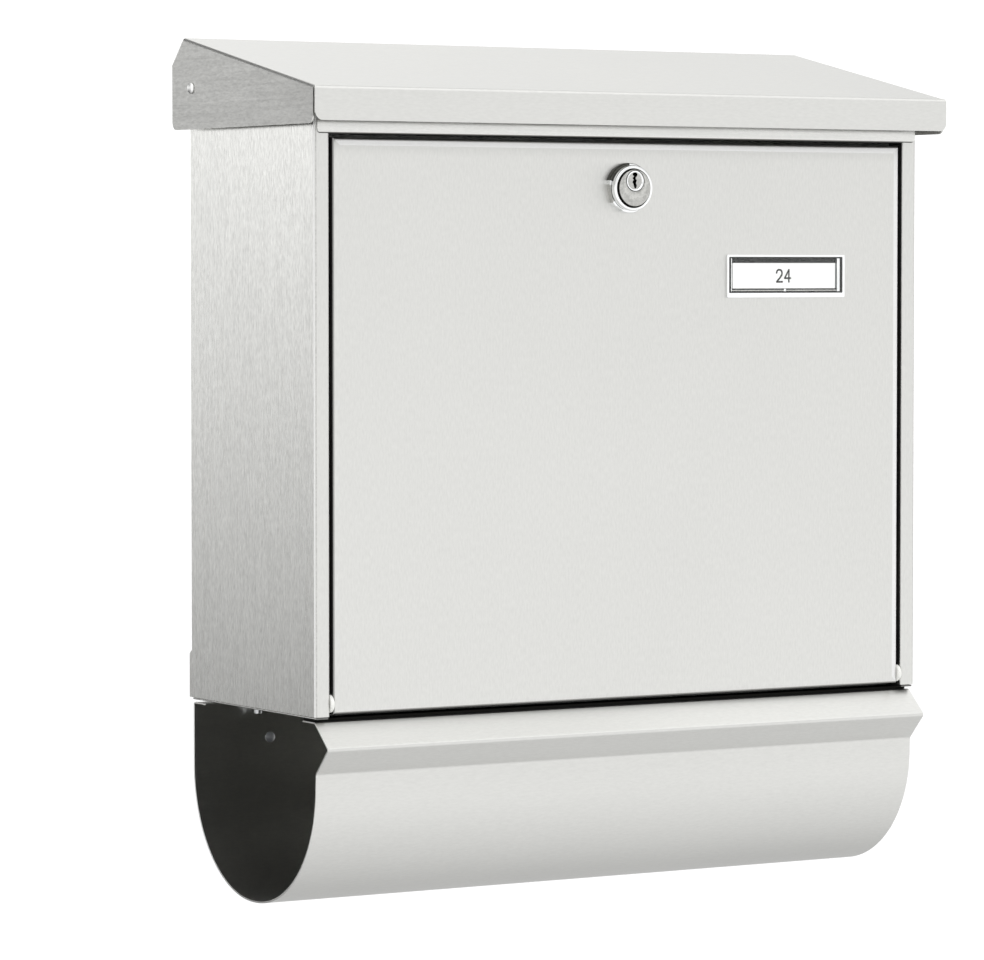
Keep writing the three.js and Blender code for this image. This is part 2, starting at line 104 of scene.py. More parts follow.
# ------------------------------------------------------------------ mesh helpers
class Sheet:
    """Faces given as points in the drawing frame, with shared points merged."""

    def __init__(self):
        self.verts, self.index, self.faces = [], {}, []

    def vert(self, p):
        key = tuple(round(c * 500) for c in p)
        if key not in self.index:
            self.index[key] = len(self.verts)
            self.verts.append(pt(*p))
        return self.index[key]

    def face(self, pts, flip=False):
        ids = []
        for p in pts:
            i = self.vert(p)
            if not ids or ids[-1] != i:
                ids.append(i)
        if len(ids) > 1 and ids[0] == ids[-1]:
            ids.pop()
        if len(set(ids)) >= 3 and len(set(ids)) == len(ids):
            self.faces.append(ids[::-1] if flip else ids)

    def strip(self, a, b, flip=False):
        for i in range(len(a) - 1):
            self.face([a[i], a[i + 1], b[i + 1], b[i]], flip)

    def mesh(self, name):
        me = bpy.data.meshes.new(name)
        me.from_pydata(self.verts, [], self.faces)
        me.validate()
        return me


def new_object(name, me):
    ob = bpy.data.objects.new(name, me)
    scene.collection.objects.link(ob)
    return ob


def bake(ob):
    """Applies the piece's modifiers to its mesh."""
    bpy.context.view_layer.update()
    dg = bpy.context.evaluated_depsgraph_get()
    me = bpy.data.meshes.new_from_object(ob.evaluated_get(dg), preserve_all_data_layers=True, depsgraph=dg)
    old = ob.data
    ob.modifiers.clear()
    ob.data = me
    if old.users == 0:
        bpy.data.meshes.remove(old)
    return ob


def outward(ob):
    bm = bmesh.new()
    bm.from_mesh(ob.data)
    bmesh.ops.recalc_face_normals(bm, faces=bm.faces)
    bm.to_mesh(ob.data)
    bm.free()


def edge_soften(ob, width, segments=2, angle=40):
    """A small round on every sharp edge, with shading weighted to the large faces."""
    m = ob.modifiers.new("bevel", "BEVEL")
    m.width = width / 1000
    m.segments = segments
    m.limit_method = "ANGLE"
    m.angle_limit = math.radians(angle)
    m.use_clamp_overlap = True
    m.miter_outer = "MITER_ARC"
    for p in ob.data.polygons:
        p.use_smooth = True
    w = ob.modifiers.new("normals", "WEIGHTED_NORMAL")
    w.mode = "FACE_AREA"
    w.weight = 60
    w.keep_sharp = True
    return ob


def thicken(ob, t, outward_side=False):
    m = ob.modifiers.new("sheet", "SOLIDIFY")
    m.thickness = t / 1000
    m.offset = 1.0 if outward_side else -1.0
    m.use_even_offset = True
    m.use_quality_normals = True
    return ob


def cutter(name, me):
    ob = new_object(name, me)
    ob.hide_render = True
    return ob


def cut(ob, *tools):
    for t in tools:
        m = ob.modifiers.new("cut", "BOOLEAN")
        m.operation = "DIFFERENCE"
        m.solver = "EXACT"
        m.object = t
    bake(ob)
    for t in tools:
        me = t.data
        bpy.data.objects.remove(t)
        bpy.data.meshes.remove(me)
    return ob


def box_mesh(name, x0, x1, y0, y1, z0, z1):
    s = Sheet()
    a = [(x0, y0, z0), (x1, y0, z0), (x1, y1, z0), (x0, y1, z0)]
    b = [(x0, y0, z1), (x1, y0, z1), (x1, y1, z1), (x0, y1, z1)]
    s.face(a, True)
    s.face(b)
    for i in range(4):
        j = (i + 1) % 4
        s.face([a[i], a[j], b[j], b[i]])
    return s.mesh(name)


def prism(name, outline, axis, a, b):
    """Closed outline in the plane across axis (order: x,y,z without axis), from a to b."""
    s = Sheet()

    def at(p, h):
        return {"x": (h, p[0], p[1]), "y": (p[0], h, p[1]), "z": (p[0], p[1], h)}[axis]

    n = len(outline)
    s.face([at(p, a) for p in outline])
    s.face([at(p, b) for p in outline][::-1])
    for i in range(n):
        j = (i + 1) % n
        s.face([at(outline[i], a), at(outline[i], b), at(outline[j], b), at(outline[j], a)])
    ob = new_object(name, s.mesh(name))
    outward(ob)
    return ob


def lathe(name, profile, axis, centre, n=96, smooth=True):
    """profile of (radius, height); revolved about axis ('+x', '-x', '+y', '-y', '+z', '-z') through centre."""
    s = Sheet()
    sign = 1 if axis[0] == "+" else -1

    def at(r, h, k):
        a = 2 * math.pi * k / n
        c, d = r * math.cos(a), r * math.sin(a)
        x, y, z = centre
        return {"x": (x + sign * h, y + c, z + d), "y": (x + c, y + sign * h, z + d), "z": (x + c, y + d, z + sign * h)}[axis[1]]

    closed = profile[0] == profile[-1]
    for i in range(len(profile) - 1):
        (r0, h0), (r1, h1) = profile[i], profile[i + 1]
        for k in range(n):
            q = [at(r0, h0, k), at(r0, h0, k + 1), at(r1, h1, k + 1), at(r1, h1, k)]
            if r0 == 0:
                q = [at(0, h0, 0), at(r1, h1, k + 1), at(r1, h1, k)]
            elif r1 == 0:
                q = [at(r0, h0, k), at(r0, h0, k + 1), at(0, h1, 0)]
            s.face(q)
    ob = new_object(name, s.mesh(name))
    outward(ob)
    return ob


def fillet(points, radii, steps=8):
    """Open chain with its corners rounded."""
    out = [points[0]]
    for i in range(1, len(points) - 1):
        p, r = Vector(points[i]), radii[i - 1] if isinstance(radii, (list, tuple)) else radii
        a, b = (Vector(points[i - 1]) - p), (Vector(points[i + 1]) - p)
        la, lb = a.length, b.length
        a.normalize()
        b.normalize()
        ang = a.angle(b)
        if r <= 0 or ang > math.radians(178):
            out.append(tuple(p))
            continue
        d = min(r / math.tan(ang / 2), la * 0.49, lb * 0.49)
        r = d * math.tan(ang / 2)
        c = p + (a + b).normalized() * (r / math.sin(ang / 2))
        s, e = p + a * d - c, p + b * d - c
        turn = s.angle(e)
        for k in range(steps + 1):
            t = k / steps
            w = (s * math.sin((1 - t) * turn) + e * math.sin(t * turn)) / math.sin(turn)
            out.append(tuple(c + w))
    out.append(points[-1])
    return out


def sheet_outline(chain, t):
    """Closed outline of a sheet of thickness t: the chain is its outer face, and t > 0 lies to the left of its direction."""
    inner = []
    for i, p in enumerate(chain):
        p = Vector(p)
        d0 = (p - Vector(chain[i - 1])).normalized() if i else None
        d1 = (Vector(chain[i + 1]) - p).normalized() if i + 1 < len(chain) else None
        n0 = Vector((-d0.y, d0.x)) if d0 else None
        n1 = Vector((-d1.y, d1.x)) if d1 else None
        if n0 is None or n1 is None:
            inner.append(tuple(p + (n1 if n0 is None else n0) * t))
        else:
            m = (n0 + n1).normalized()
            inner.append(tuple(p + m * (t / max(0.2, m.dot(n1)))))
    return [tuple(q) for q in chain] + inner[::-1]


def arc2(cy, cz, r, a0, a1, n):
    return [(cy + r * math.cos(math.radians(a0 + (a1 - a0) * i / n)), cz + r * math.sin(math.radians(a0 + (a1 - a0) * i / n)))
            for i in range(n + 1)]


# ------------------------------------------------------------------ materials
def tree(name):
    m = bpy.data.materials.new(name)
    m.use_nodes = True
    nt = m.node_tree
    b = nt.nodes["Principled BSDF"]
    return m, nt, b


def node(nt, kind, **values):
    n = nt.nodes.new(kind)
    for k, v in values.items():
        if k in n.inputs:
            n.inputs[k].default_value = v
        else:
            setattr(n, k, v)
    return n


def noise(nt, coords, scale_xyz, detail=3.0, rough=0.55, distortion=0.0, offset=(0, 0, 0)):
    mp = node(nt, "ShaderNodeMapping")
    mp.inputs["Scale"].default_value = scale_xyz
    mp.inputs["Location"].default_value = offset
    nt.links.new(coords, mp.inputs["Vector"])
    n = node(nt, "ShaderNodeTexNoise")
    n.inputs["Scale"].default_value = 1.0
    n.inputs["Detail"].default_value = detail
    n.inputs["Roughness"].default_value = rough
    n.inputs["Distortion"].default_value = distortion
    nt.links.new(mp.outputs["Vector"], n.inputs["Vector"])
    return n.outputs["Fac"]


def remap(nt, value, lo, hi, a=0.0, b=1.0, clamp=True):
    m = node(nt, "ShaderNodeMapRange")
    m.clamp = clamp
    m.inputs["From Min"].default_value = a
    m.inputs["From Max"].default_value = b
    m.inputs["To Min"].default_value = lo
    m.inputs["To Max"].default_value = hi
    nt.links.new(value, m.inputs["Value"])
    return m.outputs["Result"]


def math_node(nt, op, a, b=None):
    m = node(nt, "ShaderNodeMath", operation=op)
    for i, v in enumerate((a, b)):
        if v is None:
            continue
        if isinstance(v, (int, float)):
            m.inputs[i].default_value = v
        else:
            nt.links.new(v, m.inputs[i])
    return m.outputs[0]


def ramp(nt, fac, stops):
    r = node(nt, "ShaderNodeValToRGB")
    cr = r.color_ramp
    while len(cr.elements) < len(stops):
        cr.elements.new(0.5)
    for e, (p, c) in zip(cr.elements, stops):
        e.position = p
        e.color = (*c, 1.0)
    nt.links.new(fac, r.inputs["Fac"])
    return r.outputs["Color"]


def brushed(name, grain_axis, base, rough, fine=0.06, streak=0.03, bump=0.18, cloud=0.02, rough_var=0.05, spread="z", aniso=0.75, long=0.38, size=(1100, 300), run=(620, 14), metal=1.0):
    """Brushed stainless sheet. The grain runs along grain_axis: fine short scratches, longer streaks, and a faint uneven sheen."""
    m, nt, b = tree(name)
    obj = node(nt, "ShaderNodeTexCoord").outputs["Object"]
    ax = "xyz".index(grain_axis)

    def sc(across, along):
        v = [across] * 3
        v[ax] = along
        return tuple(v)

    n1 = noise(nt, obj, sc(*size), 3.0, 0.6)
    n2 = noise(nt, obj, sc(*run), 4.0, 0.6, offset=(3.1, 1.7, 5.3))
    n3 = noise(nt, obj, (7, 7, 7), 3.0, 0.5, 0.4, offset=(1.3, 8.2, 2.4))
    n4 = noise(nt, obj, sc(2600, 30), 2.0, 0.5, offset=(9.1, 4.7, 0.3))
    grain = math_node(nt, "ADD", math_node(nt, "MULTIPLY", n1, 1.0 - long), math_node(nt, "MULTIPLY", n2, long))
    # colour: scratches catch more or less light, and the rolled sheet is not perfectly even
    v = math_node(nt, "ADD", remap(nt, n1, -fine, fine, 0.22, 0.78, False), remap(nt, n2, -streak, streak, 0.3, 0.7, False))
    v = math_node(nt, "ADD", v, remap(nt, n3, -cloud, cloud, 0.3, 0.7, False))
    v = math_node(nt, "ADD", v, 0.5)
    lo = tuple(c * 0.5 for c in base)
    hi = tuple(min(1.0, c * 1.5) for c in base)
    col = ramp(nt, v, [(0.0, lo), (1.0, hi)])
    nt.links.new(col, b.inputs["Base Color"])
    b.inputs["Metallic"].default_value = metal
    r = math_node(nt, "ADD", remap(nt, n2, rough - rough_var, rough + rough_var, 0.3, 0.7, False), remap(nt, n3, -0.03, 0.03, 0.3, 0.7, False))
    nt.links.new(r, b.inputs["Roughness"])
    bp = node(nt, "ShaderNodeBump")
    bp.inputs["Strength"].default_value = bump
    bp.inputs["Distance"].default_value = 0.00004
    h = math_node(nt, "ADD", grain, math_node(nt, "MULTIPLY", n4, 0.35))
    nt.links.new(h, bp.inputs["Height"])
    nt.links.new(bp.outputs["Normal"], b.inputs["Normal"])
    # scratches spread a reflection across their own direction
    b.inputs["Anisotropic"].default_value = aniso
    tg = node(nt, "ShaderNodeTangent", direction_type="RADIAL", axis=spread.upper())
    nt.links.new(tg.outputs["Tangent"], b.inputs["Tangent"])
    return m


def polished(name, base, rough, micro=0.02):
    m, nt, b = tree(name)
    obj = node(nt, "ShaderNodeTexCoord").outputs["Object"]
    n1 = noise(nt, obj, (900, 900, 900), 3.0, 0.6)
    n2 = noise(nt, obj, (90, 90, 90), 3.0, 0.5, 0.5, offset=(2.2, 7.1, 4.4))
    col = ramp(nt, n2, [(0.25, tuple(c * 0.93 for c in base)), (0.75, tuple(min(1, c * 1.04) for c in base))])
    nt.links.new(col, b.inputs["Base Color"])
    b.inputs["Metallic"].default_value = 1.0
    nt.links.new(math_node(nt, "ADD", remap(nt, n1, rough - micro, rough + micro, 0.3, 0.7), remap(nt, n2, 0.0, micro, 0.4, 0.8)), b.inputs["Roughness"])
    bp = node(nt, "ShaderNodeBump")
    bp.inputs["Strength"].default_value = 0.05
    bp.inputs["Distance"].default_value = 0.00003
    nt.links.new(n1, bp.inputs["Height"])
    nt.links.new(bp.outputs["Normal"], b.inputs["Normal"])
    return m


def cast_satin(name, base, rough):
    """Satin die-cast metal face, slightly grainy."""
    m, nt, b = tree(name)
    obj = node(nt, "ShaderNodeTexCoord").outputs["Object"]
    n1 = noise(nt, obj, (1400, 1400, 1400), 3.0, 0.7)
    n2 = noise(nt, obj, (420, 420, 420), 3.0, 0.55, offset=(2.2, 7.1, 4.4))
    col = ramp(nt, math_node(nt, "ADD", math_node(nt, "MULTIPLY", n1, 0.6), math_node(nt, "MULTIPLY", n2, 0.4)),
               [(0.3, tuple(c * 0.66 for c in base)), (0.7, tuple(min(1, c * 1.28) for c in base))])
    nt.links.new(col, b.inputs["Base Color"])
    b.inputs["Metallic"].default_value = 1.0
    nt.links.new(remap(nt, n1, rough - 0.06, rough + 0.08, 0.3, 0.7), b.inputs["Roughness"])
    bp = node(nt, "ShaderNodeBump")
    bp.inputs["Strength"].default_value = 0.35
    bp.inputs["Distance"].default_value = 0.00005
    nt.links.new(n1, bp.inputs["Height"])
    nt.links.new(bp.outputs["Normal"], b.inputs["Normal"])
    return m


def moulded(name, base, rough, specks=0.04, coat=0.0, spec=0.5):
    m, nt, b = tree(name)
    obj = node(nt, "ShaderNodeTexCoord").outputs["Object"]
    n1 = noise(nt, obj, (1500, 1500, 1500), 2.0, 0.6)
    n2 = noise(nt, obj, (60, 60, 60), 3.0, 0.5, offset=(2.2, 7.1, 4.4))
    col = ramp(nt, n2, [(0.25, tuple(c * (1 - specks) for c in base)), (0.75, tuple(min(1, c * (1 + specks)) for c in base))])
    nt.links.new(col, b.inputs["Base Color"])
    nt.links.new(remap(nt, n1, rough - 0.05, rough + 0.05, 0.3, 0.7), b.inputs["Roughness"])
    b.inputs["Specular IOR Level"].default_value = spec
    b.inputs["Subsurface Weight"].default_value = 0.08 if min(base) > 0.6 else 0.0
    b.inputs["Subsurface Radius"].default_value = (0.002, 0.002, 0.002)
    b.inputs["Coat Weight"].default_value = coat
    bp = node(nt, "ShaderNodeBump")
    bp.inputs["Strength"].default_value = 0.12
    bp.inputs["Distance"].default_value = 0.00005
    nt.links.new(n1, bp.inputs["Height"])
    nt.links.new(bp.outputs["Normal"], b.inputs["Normal"])
    return m


STEEL_BASE = (0.660, 0.660, 0.640)
M_SIDE = brushed("steel_side", "z", tuple(c * 0.95 for c in STEEL_BASE), 0.28, fine=0.22, streak=0.07, bump=0.2, cloud=0.02, rough_var=0.012, spread="z", aniso=0.88, size=(1300, 300), run=(700, 45))
M_DOOR = brushed("steel_door", "z", STEEL_BASE, 0.36, fine=0.06, streak=0.004, bump=0.2, cloud=0.012, rough_var=0.015, spread="z", long=0.08)
M_LID = brushed("steel_lid", "x", STEEL_BASE, 0.36, fine=0.045, streak=0.004, bump=0.2, cloud=0.012, rough_var=0.015, spread="x", long=0.08)
M_CHEEK = brushed("steel_cheek", "y", tuple(c * 0.84 for c in STEEL_BASE), 0.38, fine=0.20, streak=0.07, bump=0.35, cloud=0.03, spread="y", aniso=0.85)
M_TRAY = brushed("steel_tray", "x", tuple(c * 0.98 for c in STEEL_BASE), 0.34, fine=0.045, streak=0.004, bump=0.2, cloud=0.012, rough_var=0.015, spread="x", long=0.08)
M_INSIDE = brushed("steel_inside", "z", tuple(c * 0.93 for c in STEEL_BASE), 0.38, fine=0.08, streak=0.02, bump=0.25, cloud=0.03, spread="z")
M_RAIL = brushed("steel_rail", "x", tuple(c * 1.0 for c in STEEL_BASE), 0.26, fine=0.05, streak=0.01, bump=0.12, cloud=0.02, spread="z", aniso=0.85, long=0.1)
# painted highlight: a brighter, partly diffuse copy of the steel, put on folds and cut edges so they read bright
M_PAINTED_HIGHLIGHT = brushed("steel_fold", "x", tuple(c * 1.42 for c in STEEL_BASE), 0.30, fine=0.05, streak=0.01, bump=0.15, cloud=0.02, rough_var=0.02, spread="x", aniso=0.3, long=0.1, metal=0.35)
# painted shade: a dark copy of the steel for returns, gap faces and undersides that lie in shade
M_PAINTED_SHADE = brushed("steel_gap", "z", tuple(c * 0.28 for c in STEEL_BASE), 0.50, fine=0.05, streak=0.02, bump=0.15, cloud=0.03, spread="z", aniso=0.2)
# painted shade: a darker copy of the steel for fold faces turned away from the light
M_PAINTED_FOLD_SHADE = brushed("steel_fold_shaded", "x", tuple(c * 0.52 for c in STEEL_BASE), 0.36, fine=0.06, streak=0.02, bump=0.15, cloud=0.02, rough_var=0.02, spread="x", aniso=0.3, long=0.1)
# painted highlight: a brighter copy of the steel for the door's top chamfer
M_PAINTED_FOLD_HIGHLIGHT = brushed("steel_fold_bright", "x", tuple(c * 1.45 for c in STEEL_BASE), 0.20, fine=0.04, streak=0.01, bump=0.10, cloud=0.02, rough_var=0.02, spread="x", aniso=0.2, long=0.1)
M_CHROME = polished("chrome", (0.86, 0.87, 0.87), 0.07)
M_FACE = cast_satin("lock_face", (0.50, 0.50, 0.48), 0.34)
M_RIVET = polished("rivet_head", (0.95, 0.95, 0.94), 0.46)
M_ZINC = cast_satin("zinc_plate", (0.58, 0.59, 0.60), 0.38)
M_NYLON = moulded("white_nylon", (0.82, 0.82, 0.79), 0.42)
M_GREY = moulded("grey_plastic", (0.23, 0.24, 0.25), 0.55)


# near-black metal: painted shade in the lock's groove and keyway, and a painted dark reflection on the collar
def painted_dark(name):
    m, nt, b = tree(name)
    obj = node(nt, "ShaderNodeTexCoord").outputs["Object"]
    n = noise(nt, obj, (500, 500, 500), 2.0, 0.6)
    nt.links.new(ramp(nt, n, [(0.3, (0.05, 0.05, 0.045)), (0.7, (0.10, 0.10, 0.09))]), b.inputs["Base Color"])
    b.inputs["Metallic"].default_value = 1.0
    nt.links.new(remap(nt, n, 0.35, 0.5, 0.3, 0.7), b.inputs["Roughness"])
    return m


def paper(name):
    m, nt, b = tree(name)
    obj = node(nt, "ShaderNodeTexCoord").outputs["Object"]
    n = noise(nt, obj, (2200, 2200, 2200), 4.0, 0.65)
    nt.links.new(ramp(nt, n, [(0.25, (0.86, 0.86, 0.85)), (0.75, (0.95, 0.95, 0.94))]), b.inputs["Base Color"])
    nt.links.new(remap(nt, n, 0.75, 0.9, 0.3, 0.7), b.inputs["Roughness"])
    bp = node(nt, "ShaderNodeBump")
    bp.inputs["Strength"].default_value = 0.2
    bp.inputs["Distance"].default_value = 0.00003
    nt.links.new(n, bp.inputs["Height"])
    nt.links.new(bp.outputs["Normal"], b.inputs["Normal"])
    return m


def ink(name):
    m, nt, b = tree(name)
    obj = node(nt, "ShaderNodeTexCoord").outputs["Object"]
    n = noise(nt, obj, (3000, 3000, 3000), 3.0, 0.6)
    nt.links.new(ramp(nt, n, [(0.3, (0.012, 0.012, 0.012)), (0.75, (0.035, 0.035, 0.034))]), b.inputs["Base Color"])
    nt.links.new(remap(nt, n, 0.5, 0.7, 0.3, 0.7), b.inputs["Roughness"])
    return m


def clear_plastic(name):
    m, nt, b = tree(name)
    obj = node(nt, "ShaderNodeTexCoord").outputs["Object"]
    n = noise(nt, obj, (120, 120, 120), 2.0, 0.5)
    nt.links.new(ramp(nt, n, [(0.3, (0.90, 0.93, 0.92)), (0.7, (0.96, 0.98, 0.97))]), b.inputs["Base Color"])
    b.inputs["IOR"].default_value = 1.49
    b.inputs["Alpha"].default_value = 0.035
    nt.links.new(remap(nt, n, 0.03, 0.07, 0.3, 0.7), b.inputs["Roughness"])
    m.surface_render_method = "BLENDED"
    return m


M_PAINTED_DARK = painted_dark("groove_shadow")
M_PAPER = paper("card_paper")
M_INK = ink("printed_ink")
M_CLEAR = clear_plastic("clear_plastic")
M_WELL = moulded("dark_well", (0.012, 0.013, 0.012), 0.55, spec=0.08)
# painted shade: near-black for the strip that fills the gap under the box
M_GAP_SHADE = moulded("dark_seal", (0.014, 0.014, 0.013), 0.85, spec=0.0)


def finish_piece(ob, material, body, *replaced):
    ob.data.materials.clear()
    ob.data.materials.append(material)
    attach(ob, body)
    if replaced:
        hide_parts(*replaced)
    return ob


def paint(ob, material, test):
    """Gives the faces that pass test(centre in the drawing frame, normal) their own finish."""
    mats = ob.data.materials
    if material.name not in [m.name for m in mats]:
        mats.append(material)
    i = [m.name for m in mats].index(material.name)
    for p in ob.data.polygons:
        c = p.center
        if test(Vector((c.x * 1000, c.y * 1000 - OY, c.z * 1000 - OZ)), p.normal):
            p.material_index = i


SHEET = 0.8

# ------------------------------------------------------------------ side panels
FL_IN, POST_D = 165.5, 12.0
TOP_FRONT, TOP_REAR = 297.4, 308.0


def side_panel(sign, name):
    """Wrapped sheet: rear flange, wall, front flange and inner return, with round folds."""
    R = 1.5
    plan = fillet([(161.0, 0.0), (HX, 0.0), (HX, -126.5), (FL_IN, -126.5), (FL_IN, -126.5 + POST_D)], [R, R, 1.3], 7)
    outline = [(sign * x, y) for x, y in sheet_outline(plan, -SHEET)]
    ob = prism(name, outline, "z", 0.0, TOP_REAR)

    def blk(x0, x1, y0, y1, z0, z1):
        xa, xb = sorted((sign * x0, sign * x1))
        return new_hidden(new_object("t", box_mesh("t", xa, xb, y0, y1, z0, z1)))

    jx, jy, jz = local("lid_hinge")
    hx, hy, hz = local("door_hinge")
    cut(ob,
        new_hidden(prism("t", [(4, TOP_REAR + 0.336), (-130, TOP_FRONT - 0.293), (-130, 330), (4, 330)], "x", sign * 150 if sign > 0 else -190, 190 if sign > 0 else -150)),
        blk(150, HX - SHEET - 0.01, -2, 2, 288, 330),
        blk(150, HX - SHEET - 0.01, -130, -122, 287, 330),
        blk(150, HX - 2.5, -123, -100, 274.5, 330),
        blk(150, HX - SHEET - 0.01, -2, 2, -2, 23))
    cut(ob,
        new_hidden(lathe("t1", [(0, -3), (2.3, -3), (2.3, 3), (0, 3)], "+x", (sign * HX, jy, jz), 32)),
        new_hidden(lathe("t2", [(0, -3), (1.75, -3), (1.75, 3), (0, 3)], "+x", (sign * FL_IN, hy, hz), 32)))
    xa, xb = sorted((sign * (HX - SHEET), sign * HX))
    tail = prism("tail", [(-1.6, 0.0), (1.3, 0.0), (1.3, 21.2), (-0.3, 23.0), (-1.6, 23.0)], "x", xa, xb)
    u = ob.modifiers.new("u", "BOOLEAN")
    u.operation, u.solver, u.object = "UNION", "EXACT", tail
    bake(ob)
    bpy.data.objects.remove(tail)
    edge_soften(ob, 0.18)
    bake(ob)
    return ob


def new_hidden(ob):
    ob.hide_render = True
    return ob


def orient(ob, test):
    """Turns all faces the same way round, so that one known face points as test says."""
    bm = bmesh.new()
    bm.from_mesh(ob.data)
    bmesh.ops.recalc_face_normals(bm, faces=bm.faces)
    votes = 0
    for f in bm.faces:
        r = test(f.calc_center_median(), f.normal)
        if r is not None:
            votes += f.calc_area() if r else -f.calc_area()
    if votes < 0:
        bmesh.ops.reverse_faces(bm, faces=bm.faces)
    bm.to_mesh(ob.data)
    bm.free()


for sign, side in ((-1, "left"), (1, "right")):
    ob = side_panel(sign, f"{side}_side_sheet")
    finish_piece(ob, M_SIDE, "housing", f"{side}_side_panel")
    paint(ob, M_DOOR, lambda c, n: c.y < -125.6 and abs(n.y) > 0.5)
    # painted highlight: brighter steel on the outer faces of the side's front bend
    paint(ob, M_PAINTED_HIGHLIGHT, lambda c, n: abs(c.x) > HX - 1.2 and c.y < -124.6 and 0.80 < abs(n.x) < 0.97 and n.y < -0.2)
    # painted shade: the darker cheek steel across the middle of that bend
    paint(ob, M_CHEEK, lambda c, n: abs(c.x) > HX - 2.2 and c.y < -125.6 and 0.25 < abs(n.x) < 0.62 and n.y < -0.7)
    # painted shade on the inner returns beside the door gap
    paint(ob, M_PAINTED_SHADE, lambda c, n: abs(c.x) < FL_IN + 0.95 and c.y > -125.3)
    paint(ob, M_INSIDE, lambda c, n: FL_IN + 1 < abs(c.x) < HX - 0.6 and c.y > -125.6)

# ------------------------------------------------------------------ sheet from a folded profile, long along X
def profile_sheet(name, chain, hx, t=SHEET):
    return prism(name, sheet_outline(chain, t), "x", -hx, hx)


# ------------------------------------------------------------------ top panel with the rail and the mail slot
RAIL_Z, TOP_Z = 274.1, 290.0
FY = -127.3
chain = fillet([(-114.9, 284.0), (-114.9, RAIL_Z), (FY, RAIL_Z), (FY, TOP_Z), (-2.4, TOP_Z), (-2.4, 298.0)],
               [1.2, 1.5, 1.5, 1.5], 6)
top = profile_sheet("top_sheet", chain, 172.4, -SHEET)
tools = [
    new_hidden(new_object("t_slot", box_mesh("t_slot", -163, 163, -108, -72, TOP_Z - 3, TOP_Z + 3))),
]
for s_ in (-1, 1):
    a, b = sorted((s_ * (FL_IN - 0.4), s_ * 180))
    tools.append(new_hidden(new_object("t_end", box_mesh("t_end", a, b, FY + SHEET + 0.02, -90, RAIL_Z - 3, RAIL_Z + 13))))
    # round the lower corners of the rail's face
    c = [(s_ * (172.4 - q[0]), RAIL_Z + q[1]) for q in [(-2, -2), (3.0, -2), (3.0, 0.0)]
         + [(2.6 - 2.6 * math.sin(t * math.pi / 16), 2.6 - 2.6 * math.cos(t * math.pi / 16)) for t in range(0, 9)] + [(-2, 2.6)]]
    tools.append(new_hidden(prism("t_corner", c, "y", FY - 2, FY + 2)))
cut(top, *tools)
edge_soften(top, 0.18)
bake(top)
finish_piece(top, M_INSIDE, "housing", "top_panel")
paint(top, M_RAIL, lambda c, n: c.y < FY + 1.6 and n.y < -0.3 and c.y < FY + SHEET * 0.6)
# painted shade on the rail's underside and lower bend
paint(top, M_PAINTED_SHADE, lambda c, n: c.z < RAIL_Z + 1.2 and n.z < -0.50)
for y_, nm in ((-108.45, "front"), (-71.55, "rear")):
    z1 = TOP_Z - SHEET - 0.02
    lip = profile_sheet(f"slot_lip_{nm}", [(y_ - 0.35, z1), (y_ - 0.35, TOP_Z - 9)], 163, 0.7)
    edge_soften(lip, 0.16)
    bake(lip)
    finish_piece(lip, M_LID, "housing")

# ------------------------------------------------------------------ newspaper tray
TR, TCZ, TRY, TFY = 61.4, -33.2, -61.8, -63.6
chain = [(-13.0, -2.4), (-0.4, -2.4), (-0.4, TCZ)]
rear = fillet(chain, [1.4], 6)
chain = rear[:-1] + arc2(TRY, TCZ, TR, 0, -90, 40) + arc2(TFY, TCZ, TR, -90, -180, 40)
front = fillet([(-125.0, TCZ), (-125.2, -27.3), (-137.2, -14.5), (-123.8, -2.5), (-111.8, -2.5)], [2.2, 1.5, 1.5], 7)
chain = chain + front[1:]
tray = profile_sheet("tray_sheet", chain, THX, -SHEET)
tools = []
for s_ in (-1, 1):
    tools.append(new_hidden(lathe("t1", [(0, -3), (2.4, -3), (2.4, 3), (0, 3)], "+z", (s_ * 140, -7, -2.8), 32)))
    tools.append(new_hidden(lathe("t2", [(0, -3), (2.6, -3), (2.6, 3), (0, 3)], "+y", (s_ * 130, -0.8, -22), 32)))
cut(tray, *tools)
edge_soften(tray, 0.2)
bake(tray)
finish_piece(tray, M_TRAY, "housing", "newspaper_tray")
# painted shade on the top of the tray's front flange, under the box
paint(tray, M_PAINTED_FOLD_SHADE, lambda c, n: c.z > -3.05 and n.z > 0.75 and c.y < -112)

# ------------------------------------------------------------------ rain lid
APEX, FRONT, REAR_Y, CHAM_Z, LOW_Z, LIP_Z = (-8.3, 323.4), (-141.7, 295.8), 4.0, 310.8, 278.5, 279.9
RF = 1.7                                   # fold radius along the cheeks
RELIEF_Y = FRONT[0] + 1.9                  # the cheeks' folds stop here
path = fillet([(REAR_Y, CHAM_Z), APEX, FRONT, (FRONT[0], LIP_Z)], [2.4, 2.0], 8)
# put a point on the roof exactly where the cheek folds stop
roof_path, lip_path = [], []
for p, q in zip(path, path[1:]):
    roof_path.append(p)
    if p[0] > RELIEF_Y >= q[0] and p[1] > 290:
        t = (p[0] - RELIEF_Y) / (p[0] - q[0])
        mid = (RELIEF_Y, p[1] + (q[1] - p[1]) * t)
        roof_path.append(mid)
        break
i0 = path.index(q)
lip_path = [roof_path[-1]] + path[i0:]


def normals(chain2):
    out = []
    for i in range(len(chain2)):
        a, b = chain2[max(i - 1, 0)], chain2[min(i + 1, len(chain2) - 1)]
        d = Vector((b[0] - a[0], b[1] - a[1])).normalized()
        out.append((d.y, -d.x))            # (y, z) of the outward normal for a path that runs from rear to front
    return out


